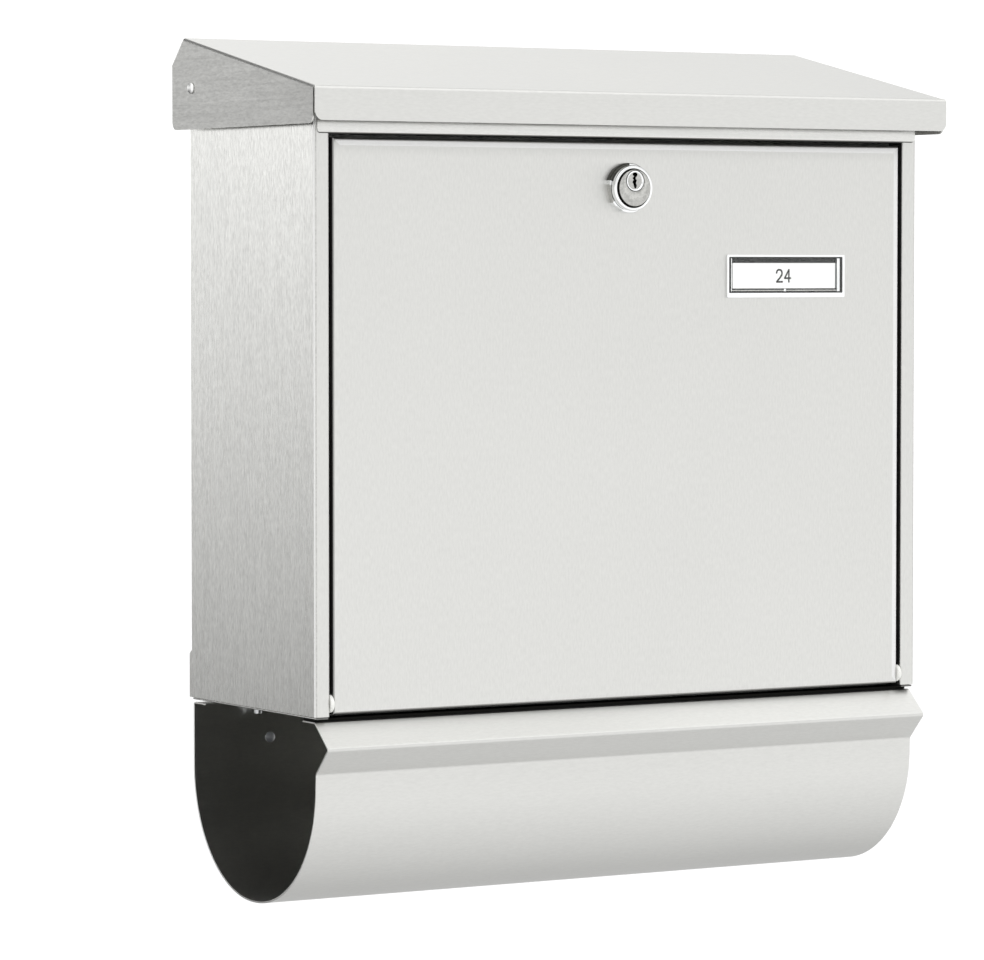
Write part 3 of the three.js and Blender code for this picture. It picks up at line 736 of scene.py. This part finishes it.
nrm = normals(roof_path)
nrm = [(-a, -b) if b < 0 else (a, b) for a, b in nrm]
FOLD = 6
lid = Sheet()
X0 = LHX - RF
xs = [-X0 + 2 * X0 * i / 6 for i in range(7)]
for chain2 in (roof_path, lip_path):
    for p, q in zip(chain2, chain2[1:]):
        for a, b in zip(xs, xs[1:]):
            lid.face([(a, *p), (b, *p), (b, *q), (a, *q)])
for sgn in (-1, 1):
    rows = []
    for (y, z), (ny, nz) in zip(roof_path, nrm):
        cy, cz = y - ny * RF, z - nz * RF
        row = []
        for k in range(FOLD + 1):
            t = math.pi / 2 * k / FOLD
            row.append((sgn * (X0 + RF * math.sin(t)), cy + ny * RF * math.cos(t), cz + nz * RF * math.cos(t)))
        rows.append(row)
    for r0, r1 in zip(rows, rows[1:]):
        for k in range(FOLD):
            lid.face([r0[k], r0[k + 1], r1[k + 1], r1[k]])
    # the cheek below the fold
    edge = [r[-1][1:] for r in rows]
    ry, rz = edge[0]
    fy = edge[-1][0]
    low = [(fy, LOW_Z + 4.0)] + [(fy + 4.0 - 4.0 * math.cos(t * math.pi / 16), LOW_Z + 4.0 - 4.0 * math.sin(t * math.pi / 16)) for t in range(1, 9)]
    low += [(ry - 4.0 + 4.0 * math.sin(t * math.pi / 16), LOW_Z + 4.0 - 4.0 * math.cos(t * math.pi / 16)) for t in range(0, 9)]
    poly = edge + low
    lid.face([(sgn * LHX, *p) for p in poly])
    # the lip runs on past the fold to the lid's full width, with a small round at its upper corner
    X1 = LHX - 0.15
    prev = None
    for idx, p in enumerate(lip_path):
        u = idx / (len(lip_path) - 1)
        inset = 0.0
        if idx < len(lip_path) - 1:
            inset = 1.1 * (1 - min(1.0, idx / 6.0)) ** 2
        cur = [(sgn * X0, *p), (sgn * (X1 - inset), *p)]
        if prev:
            lid.face([prev[0], prev[1], cur[1], cur[0]])
        prev = cur
lid_ob = new_object("lid_sheet", lid.mesh("lid_sheet"))
orient(lid_ob, lambda c, n: n.z > 0 if (-130 < c.y * 1000 - OY < -20 and c.z * 1000 - OZ > 297 and abs(c.x) * 1000 < 150) else None)
thicken(lid_ob, SHEET)
bake(lid_ob)
outward(lid_ob)
jx, jy, jz = local("lid_hinge")
tools = []
for s_ in (-1, 1):
    tools.append(new_hidden(lathe("t1", [(0, -3), (2.3, -3), (2.3, 3), (0, 3)], "+x", (s_ * LHX, jy, jz), 32)))
    c = [(s_ * (LHX - 0.15 - q[0]), LIP_Z + q[1]) for q in [(-2, -2), (4.4, -2), (4.4, 0.0)]
         + [(4.0 - 4.0 * math.sin(t * math.pi / 16), 4.0 - 4.0 * math.cos(t * math.pi / 16)) for t in range(0, 9)] + [(-2, 4.0)]]
    tools.append(new_hidden(prism("t_corner", c, "y", FRONT[0] - 2, FRONT[0] + 1.3)))
cut(lid_ob, *tools)
lid_ob.data.materials.clear()
for m_ in (M_LID, M_CHEEK, M_PAINTED_HIGHLIGHT):
    lid_ob.data.materials.append(m_)
edge_soften(lid_ob, 0.28)
# painted highlight: the bevels on the lid's edges take the brighter fold steel
lid_ob.modifiers["bevel"].material = 2
bake(lid_ob)
for m_ in (M_LID, M_CHEEK, M_PAINTED_HIGHLIGHT):
    if m_.name not in [q.name for q in lid_ob.data.materials]:
        lid_ob.data.materials.append(m_)
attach(lid_ob, "lid")
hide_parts("lid")
for p in lid_ob.data.polygons:
    if abs(p.normal.x) > 0.6 and p.center.y * 1000 - OY > RELIEF_Y - 0.5 and p.material_index != 2:
        p.material_index = 1

# ------------------------------------------------------------------ lid pivots
for sgn, side in ((-1, "left"), (1, "right")):
    ax = "+x" if sgn > 0 else "-x"
    c = (sgn * (LHX + 0.08), jy, jz)
    dome = [(2.7 * math.cos(t * math.pi / 20), 0.25 + 1.5 * math.sin(t * math.pi / 20)) for t in range(0, 11)]
    pin = lathe(f"lid_pin_{side}", [(0, -12.3), (1.5, -12.3), (1.9, -11.9), (1.9, 0.0), (2.6, 0.0), (2.7, 0.1)] + dome[:-1] + [(0, 1.75)], ax, c, 48)
    edge_soften(pin, 0.08)
    bake(pin)
    finish_piece(pin, M_RIVET, "housing", f"lid_pivot_pin_{side}")
    sp = lathe(f"lid_spacer_{side}", [(2.15, 0), (4.2, 0), (4.6, 0.4), (4.6, 6.5), (4.2, 6.9), (2.15, 6.9), (2.15, 0)], ax, (sgn * (HX + 0.1), jy, jz), 48)
    edge_soften(sp, 0.1)
    bake(sp)
    finish_piece(sp, M_NYLON, "housing", f"lid_pivot_spacer_{side}")

# ------------------------------------------------------------------ door
hx_, hy_, hz_ = local("door_hinge")
lx, ly, lz = local("lock_turn")
LOCK_Z = lz - 3.4
RD, RET = 3.6, 11.0
NPX, NPZ = (58.2, 129.0), (196.5, 217.8)
door = Sheet()
FYD = -126.5


def ring(inset, y):
    a, z0, z1 = DHX - inset, DZ0 + inset, DZ1 - inset
    return [(-a, y, z0), (a, y, z0), (a, y, z1), (-a, y, z1)]


# face, with a round hole for the lock and a window behind the name plate
gx = [-(DHX - RD), -14.0, 14.0, NPX[0] + 1.5, NPX[1] - 1.5, DHX - RD]
gz = [DZ0 + RD, NPZ[0] + 2.2, NPZ[1] - 1.2, LOCK_Z - 14, LOCK_Z + 14, DZ1 - RD]
for i in range(5):
    for k in range(5):
        xa, xb, za, zb = gx[i], gx[i + 1], gz[k], gz[k + 1]
        if i == 3 and k == 1:
            continue
        if i == 1 and k == 3:
            n = 48
            hole = []
            for t in range(n):
                a = 2 * math.pi * (t + 0.5) / n - 3 * math.pi / 4
                hx2, hz2 = 9.35 * math.cos(a), 9.35 * math.sin(a)
                hole.append((max(-8.35, min(8.35, hx2)), FYD, LOCK_Z + hz2))
            corners = [(xa, FYD, za), (xb, FYD, za), (xb, FYD, zb), (xa, FYD, zb)]
            q = n // 4
            for c_ in range(4):
                seg = [hole[(c_ * q + t) % n] for t in range(q + 1)]
                door.face([corners[c_], corners[(c_ + 1) % 4]] + seg[::-1])
            continue
        door.face([(xa, FYD, za), (xb, FYD, za), (xb, FYD, zb), (xa, FYD, zb)])
# the rounded fold all round, mitred at the corners: subdivided along the edges to match the face grid
CH, RF_D, K = math.radians(14.2), 1.3, 7     # a shallow pressed chamfer, then a tight bend
ch_in = RF_D * (1 - math.sin(CH))
ch_y = FYD + (RD - ch_in) * math.tan(CH)
rings = [(RD, FYD)]
for k in range(K + 1):
    a = CH + (math.pi / 2 - CH) * k / K
    rings.append((RF_D * (1 - math.sin(a)), ch_y + RF_D * (math.cos(CH) - math.cos(a))))
rings.append((0.0, FYD + RET))


def edge_points(inset, y):
    a, z0, z1 = DHX - inset, DZ0 + inset, DZ1 - inset
    xs_ = [-a] + gx[1:-1] + [a]
    zs_ = [z0] + gz[1:-1] + [z1]
    loop = [(x, y, z0) for x in xs_] + [(a, y, z) for z in zs_[1:]] + [(x, y, z1) for x in reversed(xs_[:-1])] + [(-a, y, z) for z in reversed(zs_[1:-1])]
    return loop


loops = [edge_points(*r) for r in rings]
for l0, l1 in zip(loops, loops[1:]):
    n = len(l0)
    for t in range(n):
        door.face([l0[t], l0[(t + 1) % n], l1[(t + 1) % n], l1[t]])
door_ob = new_object("door_sheet", door.mesh("door_sheet"))
orient(door_ob, lambda c, n: n.y < 0 if c.y * 1000 - OY < FYD + 0.01 else None)
thicken(door_ob, SHEET)
bake(door_ob)
outward(door_ob)
cut(door_ob,
    new_hidden(lathe("t1", [(0, -3.6), (1.75, -3.6), (1.75, 1.5), (0, 1.5)], "+x", (DHX, hy_, hz_), 32)),
    new_hidden(lathe("t2", [(0, -3.6), (1.75, -3.6), (1.75, 1.5), (0, 1.5)], "-x", (-DHX, hy_, hz_), 32)))
edge_soften(door_ob, 0.16)
bake(door_ob)
finish_piece(door_ob, M_DOOR, "door", "door_panel")
paint(door_ob, M_INSIDE, lambda c, n: c.y > FYD + 0.5 and abs(c.x) < DHX - 0.5 and DZ0 + 0.5 < c.z < DZ1 - 0.5)
# painted highlight: brighter steel on the folds round the door
paint(door_ob, M_PAINTED_HIGHLIGHT, lambda c, n: c.y < FYD + RD and -0.985 < n.y < -0.30 and (abs(c.x) > DHX - RD or c.z > DZ1 - RD or c.z < DZ0 + RD))
# painted highlight on the top chamfer, and painted shade on the bend above it
paint(door_ob, M_PAINTED_FOLD_HIGHLIGHT, lambda c, n: c.z > DZ1 - RD and 0.15 < n.z < 0.50 and abs(c.x) < DHX - 1.0 and c.y < FYD + RD)
paint(door_ob, M_PAINTED_FOLD_SHADE, lambda c, n: c.z > DZ1 - RD and 0.50 <= n.z < 0.95 and abs(c.x) < DHX - 1.0 and c.y < FYD + RD)
paint(door_ob, M_DOOR, lambda c, n: c.x < -DHX + RD and n.x > -0.50 and abs(n.z) < 0.1 and n.y < -0.6 and c.y < FYD + RD)
paint(door_ob, M_DOOR, lambda c, n: c.z < DZ0 + RD and -0.30 < n.z < -0.15 and abs(c.x) < DHX - 1.0 and c.y < FYD + RD)
# painted shade on the lower bottom fold, the outer left fold and the returns
paint(door_ob, M_PAINTED_FOLD_SHADE, lambda c, n: c.z < DZ0 + RD and n.z < -0.30 and abs(c.x) < DHX - 1.0 and c.y < FYD + RD)
paint(door_ob, M_PAINTED_FOLD_SHADE, lambda c, n: c.x < -DHX + RD and -0.90 < n.x < -0.50 and c.y < FYD + RD)
paint(door_ob, M_PAINTED_SHADE, lambda c, n: c.x < -DHX + RD and n.x <= -0.86 and c.y < FYD + RD)
paint(door_ob, M_PAINTED_SHADE, lambda c, n: c.y > FYD + RD * 0.6 and abs(n.y) <= 0.30 and (abs(c.x) > DHX - 0.5 or c.z > DZ1 - 0.5 or c.z < DZ0 + 0.5))

# ------------------------------------------------------------------ door hinge bushes
for sgn, side in ((-1, "left"), (1, "right")):
    ax = "+x" if sgn > 0 else "-x"
    bush = lathe(f"hinge_bush_{side}", [(1.7, 0), (3.9, 0), (4.3, 0.35), (4.3, 1.55), (3.9, 1.9), (1.7, 1.9), (1.7, 0)], ax, (sgn * (DHX + 0.08), hy_, hz_), 64)
    edge_soften(bush, 0.1)
    bake(bush)
    finish_piece(bush, M_NYLON, "housing", f"door_hinge_bush_{side}")

# ------------------------------------------------------------------ lock
LY = FYD
col = lathe("lock_collar", [(9.4, 0.02), (12.1, 0.02), (12.2, 0.2), (12.2, 2.4), (12.0, 2.9), (11.5, 3.2), (9.4, 3.2), (9.4, 0.02)], "-y", (0, LY, LOCK_Z), 144)
tools = []
for a, d, w in ((194, 11.1, 4.6), (238, 11.5, 2.0), (168, 11.75, 0.8), (346, 11.1, 4.6), (302, 11.5, 2.0)):
    ob = new_object("t_n", box_mesh("t_n", d, 16, LY - 6, LY + 1, -w, w))
    ob.data.transform(Matrix.Translation(pt(0, 0, 0) * -1))
    ob.data.transform(Matrix.Rotation(math.radians(-a), 4, "Y"))
    ob.data.transform(Matrix.Translation(pt(0, 0, LOCK_Z)))
    tools.append(new_hidden(ob))
cut(col, *tools)
edge_soften(col, 0.12)
bake(col)
finish_piece(col, M_CHROME, "door", "lock_rosette")


def bearing(c, z0):
    return math.degrees(math.atan2(c.z - z0, c.x)) % 360


# painted dark reflection on the collar's upper left
paint(col, M_PAINTED_DARK, lambda c, n: 92 < bearing(c, LOCK_Z) < 162)
paint(col, M_FACE, lambda c, n: 172 < bearing(c, LOCK_Z) < 216)

body = lathe("lock_barrel", [
    (0, -11.4), (8.6, -11.4), (9.0, -11.0), (9.0, 3.35), (10.6, 3.35), (11.0, 3.5), (11.1, 3.9), (11.1, 5.5), (10.95, 6.1), (10.6, 6.4),
    (9.9, 6.45), (9.55, 6.38), (9.4, 6.1), (9.35, 5.0), (8.95, 5.0), (8.95, 7.0), (8.88, 7.35), (8.65, 7.55), (8.3, 7.6), (0, 7.6)],
    "-y", (0, LY, LOCK_Z), 144)
cut(body,
    new_hidden(new_object("t1", box_mesh("t1", 8.05, 12, LY - 0.2, LY + 30, LOCK_Z - 12, LOCK_Z + 12))),
    new_hidden(new_object("t2", box_mesh("t2", -12, -8.05, LY - 0.2, LY + 30, LOCK_Z - 12, LOCK_Z + 12))),
    new_hidden(lathe("t3", [(0, -20), (5.2, -20), (5.2, 30), (0, 30)], "+y", (0, LY, lz), 64)))
edge_soften(body, 0.1)
bake(body)
finish_piece(body, M_CHROME, "door", "lock_body")
# satin face on the same casting, and painted shade on the groove walls
paint(body, M_FACE, lambda c, n: c.y < LY - 7.25 and math.hypot(c.x, c.z - LOCK_Z) < 8.9 and n.y < -0.4)
paint(body, M_PAINTED_DARK, lambda c, n: 8.8 < math.hypot(c.x, c.z - LOCK_Z) < 9.42 and LY - 7.3 < c.y < LY - 4.8)

plug = lathe("key_plug", [(0, -12.0), (4.6, -12.0), (5.0, -11.6), (5.0, 7.3), (4.85, 7.7), (4.5, 7.85), (4.15, 7.7), (3.95, 7.35), (0, 7.3)], "-y", (0, LY, lz), 72)
key = [(-0.35, 4.1), (0.75, 4.0), (1.35, 3.4), (1.35, 2.6), (0.8, 2.0), (0.35, 1.5), (0.45, 0.9), (1.1, 0.3), (0.8, -0.4), (0.6, -1.2),
       (1.0, -2.0), (0.85, -3.1), (0.3, -3.7), (-0.35, -3.4), (-0.6, -2.4), (-0.9, -1.5), (-1.4, -0.9), (-1.3, -0.1), (-0.7, 0.6), (-1.3, 1.1),
       (-1.25, 1.6), (-0.6, 2.0), (-0.75, 2.4), (-1.3, 2.8), (-1.35, 3.4), (-0.95, 3.9)]
k_tool = prism("t_k", [(x, lz + z) for x, z in key], "y", LY - 9, LY + 2)
cut(plug, new_hidden(k_tool))
tail = new_object("t_tail", box_mesh("t_tail", -2.9, 2.9, LY + 11.8, LY + 14.2, lz - 2.9, lz + 2.9))
u = plug.modifiers.new("tail", "BOOLEAN")
u.operation, u.solver, u.object = "UNION", "EXACT", tail
bake(plug)
bpy.data.objects.remove(tail)
cut(plug, new_hidden(lathe("t_b", [(0, -7), (1.6, -7), (1.6, 6), (0, 6)], "+y", (0, LY + 14.2, lz), 32)))
edge_soften(plug, 0.08)
bake(plug)
finish_piece(plug, M_CHROME, "lock", "lock_plug")
paint(plug, M_FACE, lambda c, n: c.y < LY - 7.2 and math.hypot(c.x, c.z - lz) < 4.1 and n.y < -0.9)
# painted shade in the keyway and round the plug
paint(plug, M_PAINTED_DARK, lambda c, n: LY - 7.28 < c.y < LY + 2.5 and math.hypot(c.x, c.z - lz) < 4.35)

# ------------------------------------------------------------------ name plate
def rounded_rect(x0, x1, z0, z1, r, n=6):
    out = []
    for cx, cz, a0 in ((x1 - r, z1 - r, 0), (x0 + r, z1 - r, 90), (x0 + r, z0 + r, 180), (x1 - r, z0 + r, 270)):
        for k in range(n + 1):
            a = math.radians(a0 + 90 * k / n)
            out.append((cx + r * math.cos(a), cz + r * math.sin(a)))
    return out


W = (59.4, 127.6, 198.9, 216.6)


def plate_piece(name, rect, r, y0, y1, material, soft=0.08, replaced=()):
    ob = prism(name, rounded_rect(*rect, r), "y", y0, y1)
    edge_soften(ob, soft)
    bake(ob)
    return finish_piece(ob, material, "door", *replaced)


def inset(rect, d):
    return (rect[0] + d, rect[1] - d, rect[2] + d, rect[3] - d)


fr = prism("name_bezel", rounded_rect(NPX[0], NPX[1], NPZ[0], NPZ[1], 0.6), "y", LY - 1.3, LY - 0.02)
cut(fr, new_hidden(prism("t1", rounded_rect(*W, 0.4), "y", LY - 4, LY + 2)))
edge_soften(fr, 0.3, 3)
bake(fr)
finish_piece(fr, M_CHROME, "door", "nameplate_frame")
# dark well behind the card, with its walls
well = prism("name_well", rounded_rect(*inset(W, 0.05), 0.4), "y", LY - 0.95, LY + 1.6)
cut(well, new_hidden(prism("t1", rounded_rect(*inset(W, 0.4), 0.3), "y", LY - 4, LY + 1.0)))
edge_soften(well, 0.1)
bake(well)
finish_piece(well, M_WELL, "door")
plate_piece("name_window", inset(W, 0.1), 0.5, LY - 1.85, LY - 1.45, M_CLEAR, 0.12, ("nameplate_window",))
plate_piece("name_card", (61.8, 123.55, 201.05, 213.65), 0.25, LY - 0.55, LY - 0.25, M_PAPER, 0.04, ("nameplate_card",))
plate_piece("name_grip_right", (124.3, 126.0, 199.5, 216.0), 0.2, LY - 1.15, LY + 0.6, M_CHROME, 0.15)
plate_piece("name_grip_left", (60.6, 61.1, 199.6, 216.0), 0.1, LY - 1.0, LY + 0.6, M_CHROME, 0.1)
plate_piece("name_ledge", (61.4, 124.0, 199.75, 200.35), 0.12, LY - 0.9, LY + 0.6, M_FACE, 0.1)
plate_piece("name_notch", (92.2, 93.5, 199.6, 200.85), 0.15, LY - 1.0, LY + 0.6, M_CHROME, 0.1)


def stroke(sheet, line, w, y0, y1):
    """A printed line of width w, as short flat blocks with round joints."""
    n = 12
    for (x0, z0), (x1, z1) in zip(line, line[1:]):
        d = Vector((x1 - x0, z1 - z0))
        if d.length == 0:
            continue
        m = Vector((-d.y, d.x)).normalized() * (w / 2)
        q = [(x0 + m.x, z0 + m.y), (x0 - m.x, z0 - m.y), (x1 - m.x, z1 - m.y), (x1 + m.x, z1 + m.y)]
        block(sheet, q, y0, y1)
    for x0, z0 in line:
        block(sheet, [(x0 + w / 2 * math.cos(2 * math.pi * k / n), z0 + w / 2 * math.sin(2 * math.pi * k / n)) for k in range(n)], y0, y1)


def block(sheet, q, y0, y1):
    """Its own closed block, sharing no points with its neighbours."""
    base = len(sheet.verts)
    sheet.verts += [pt(x, y0, z) for x, z in q] + [pt(x, y1, z) for x, z in q]
    n = len(q)
    sheet.faces.append([base + i for i in range(n)])
    sheet.faces.append([base + n + i for i in reversed(range(n))])
    for i in range(n):
        j = (i + 1) % n
        sheet.faces.append([base + i, base + n + i, base + n + j, base + j])


# a plain house number printed on the card
ink_lines = Sheet()
NH, NW, NX, NZ = 6.0, 3.5, 88.0, 204.3
two = [(0.02, .74), (.08, .88), (.26, .98), (.5, 1), (.74, .97), (.92, .86), (.96, .70), (.88, .55), (.66, .37), (.36, .19), (.12, .05), (.05, 0), (1, 0)]
four = [[(.74, 0), (.74, 1), (.02, .30), (1, .30)]]
stroke(ink_lines, [(NX + u_ * NW, NZ + v_ * NH) for u_, v_ in two], 0.92, LY - 0.57, LY - 0.54)
for line in four:
    stroke(ink_lines, [(NX + 4.9 + u_ * NW, NZ + v_ * NH) for u_, v_ in line], 0.92, LY - 0.57, LY - 0.54)
number_ob = new_object("card_number", ink_lines.mesh("card_number"))
outward(number_ob)
finish_piece(number_ob, M_INK, "door")

# ------------------------------------------------------------------ dark strip between the box and the tray's front flange: painted shade that keeps the gap dark
shade_strip = prism("tray_seal", rounded_rect(-121.5, -111.0, -2.42, -0.985, 0.2), "x", -171.5, 171.5)
edge_soften(shade_strip, 0.15)
bake(shade_strip)
finish_piece(shade_strip, M_GAP_SHADE, "housing")

# ------------------------------------------------------------------ CAD nodes that stay: round their edges, give them their finish
KEEP = {
    "back_panel": (M_INSIDE, 0.2), "bottom_panel": (M_INSIDE, 0.2),
    "tray_screw_left": (M_ZINC, 0.15), "tray_screw_right": (M_ZINC, 0.15), "tray_nut_left": (M_ZINC, 0.2), "tray_nut_right": (M_ZINC, 0.2),
    "wall_spacer_lower_left": (M_GREY, 0.35), "wall_spacer_lower_right": (M_GREY, 0.35), "wall_spacer_upper_left": (M_GREY, 0.35),
    "wall_spacer_upper_right": (M_GREY, 0.35), "tray_spacer_left": (M_GREY, 0.35), "tray_spacer_right": (M_GREY, 0.35),
    "lid_pivot_clip_left": (M_ZINC, 0.15), "lid_pivot_clip_right": (M_ZINC, 0.15),
    "door_hinge_pin_left": (M_ZINC, 0.12), "door_hinge_pin_right": (M_ZINC, 0.12),
    "door_hinge_clip_left": (M_ZINC, 0.12), "door_hinge_clip_right": (M_ZINC, 0.12),
    "lock_nut": (M_ZINC, 0.25), "lock_cam": (M_ZINC, 0.25), "cam_screw": (M_ZINC, 0.15), "nameplate_holder": (M_GREY, 0.25),
}
for name, (m, w) in KEEP.items():
    ob = nodes[name]
    ob.data.materials.clear()
    ob.data.materials.append(m)
    for p in ob.data.polygons:
        p.use_smooth = True
        p.material_index = 0
    # painted shade on the bottom panel's front and on all its bevels
    painted_shade_edges = name == "bottom_panel"
    if painted_shade_edges:
        paint(ob, M_PAINTED_SHADE, lambda c, n: c.y < -111.5)
    weld = ob.modifiers.new("weld", "WELD")
    weld.merge_threshold = 0.000002
    bv = ob.modifiers.new("bevel", "BEVEL")
    bv.width, bv.segments, bv.limit_method, bv.angle_limit = w / 1000, 2, "ANGLE", math.radians(38)
    if painted_shade_edges:
        bv.material = 1
    wn = ob.modifiers.new("normals", "WEIGHTED_NORMAL")
    wn.weight = 60

# ------------------------------------------------------------------ floor, world, and an area-light helper that nothing calls
floor_me = bpy.data.meshes.new("floor")
fz = (cad_lo.z - 1.6)
floor_me.from_pydata([(-40, -40, fz), (40, -40, fz), (40, 40, fz), (-40, 40, fz)], [], [(0, 1, 2, 3)])
floor = new_object("floor", floor_me)
fm, fnt, fb = tree("floor_white")
fb.inputs["Base Color"].default_value = (0.93, 0.93, 0.93, 1)
fb.inputs["Roughness"].default_value = 0.8
floor.data.materials.append(fm)
floor.visible_glossy = False

# a white room: brighter overhead, dimmer towards the ground, with a shaded stretch low on the left behind the box
world = bpy.data.worlds.new("studio")
scene.world = world
world.use_nodes = True
wnt = world.node_tree
bg = wnt.nodes["Background"]
direction = node(wnt, "ShaderNodeTexCoord").outputs["Generated"]
sep = node(wnt, "ShaderNodeSeparateXYZ")
wnt.links.new(direction, sep.inputs[0])
dz = sep.outputs["Z"]


def facing(v):
    """How nearly a direction points to the compass bearing v (x, y), from -1 to 1."""
    flat = node(wnt, "ShaderNodeCombineXYZ")
    wnt.links.new(sep.outputs["X"], flat.inputs[0])
    wnt.links.new(sep.outputs["Y"], flat.inputs[1])
    nrm_ = node(wnt, "ShaderNodeVectorMath", operation="NORMALIZE")
    wnt.links.new(flat.outputs[0], nrm_.inputs[0])
    d = node(wnt, "ShaderNodeVectorMath", operation="DOT_PRODUCT")
    wnt.links.new(nrm_.outputs[0], d.inputs[0])
    length = math.hypot(*v)
    d.inputs[1].default_value = (v[0] / length, v[1] / length, 0)
    return d.outputs["Value"]


def curve(fac, stops, lo, hi):
    """Piecewise-linear value of fac over stops of (position, value)."""
    f = remap(wnt, fac, 0, 1, lo, hi)
    r = ramp(wnt, f, [((p - lo) / (hi - lo), (v / 2, v / 2, v / 2)) for p, v in stops])
    g = node(wnt, "ShaderNodeSeparateColor")
    wnt.links.new(r, g.inputs[0])
    return math_node(wnt, "MULTIPLY", g.outputs[0], 2.0)


def blend(w, a_, b_):
    """a_ where w is 0, b_ where w is 1."""
    m = node(wnt, "ShaderNodeMix", data_type="FLOAT")
    wnt.links.new(w, m.inputs[0])
    for i, v in ((2, a_), (3, b_)):
        if isinstance(v, (int, float)):
            m.inputs[i].default_value = v
        else:
            wnt.links.new(v, m.inputs[i])
    return m.outputs[0]


front_right = curve(dz, [(-1.0, 0.84), (-0.85, 1.00), (-0.45, 1.25), (-0.2, 1.28), (0.0, 1.26), (0.3, 0.92), (0.7, 1.60), (1.0, 1.66)], -1, 1)
back = curve(dz, [(-1.0, 0.84), (-0.8, 0.75), (-0.45, 0.70), (-0.2, 0.70), (0.0, 1.15), (0.2, 1.48), (0.6, 1.52), (1.0, 1.66)], -1, 1)
level = blend(remap(wnt, sep.outputs["Y"], 0, 1, -0.15, 0.35), front_right, back)
behind_left = curve(dz, [(-1.0, 0.50), (-0.45, 0.06), (-0.17, 0.06), (0.05, 1.60), (0.14, 1.70), (0.25, 0.25), (0.6, 0.25), (1.0, 1.40)], -1, 1)
w_left = remap(wnt, facing((-0.516, 0.856)), 0, 1, 0.55, 0.85)
level = blend(w_left, level, behind_left)
w_right = math_node(wnt, "MULTIPLY", remap(wnt, facing((0.85, 0.53)), 0, 1, 0.80, 0.99), remap(wnt, dz, 0, 1, 0.05, 0.25))
level = blend(w_right, level, 0.92)
seen = node(wnt, "ShaderNodeLightPath").outputs["Is Camera Ray"]
level = blend(seen, level, 1.2)
wnt.links.new(level, bg.inputs["Strength"])
bg.inputs["Color"].default_value = (1, 1, 1, 1)


def area(name, loc, target, size, power, size_y=None, color=(1, 1, 1)):
    ld = bpy.data.lights.new(name, "AREA")
    ld.energy = power
    ld.color = color
    ld.shape = "RECTANGLE"
    ld.size = size
    ld.size_y = size_y or size
    ob = bpy.data.objects.new(name, ld)
    ob.location = loc
    ob.rotation_mode = "QUATERNION"
    ob.rotation_quaternion = (Vector(target) - Vector(loc)).to_track_quat("-Z", "Y")
    ob.visible_camera = False
    scene.collection.objects.link(ob)
    return ob


scene.view_settings.view_transform = "Standard"
scene.view_settings.look = "None"
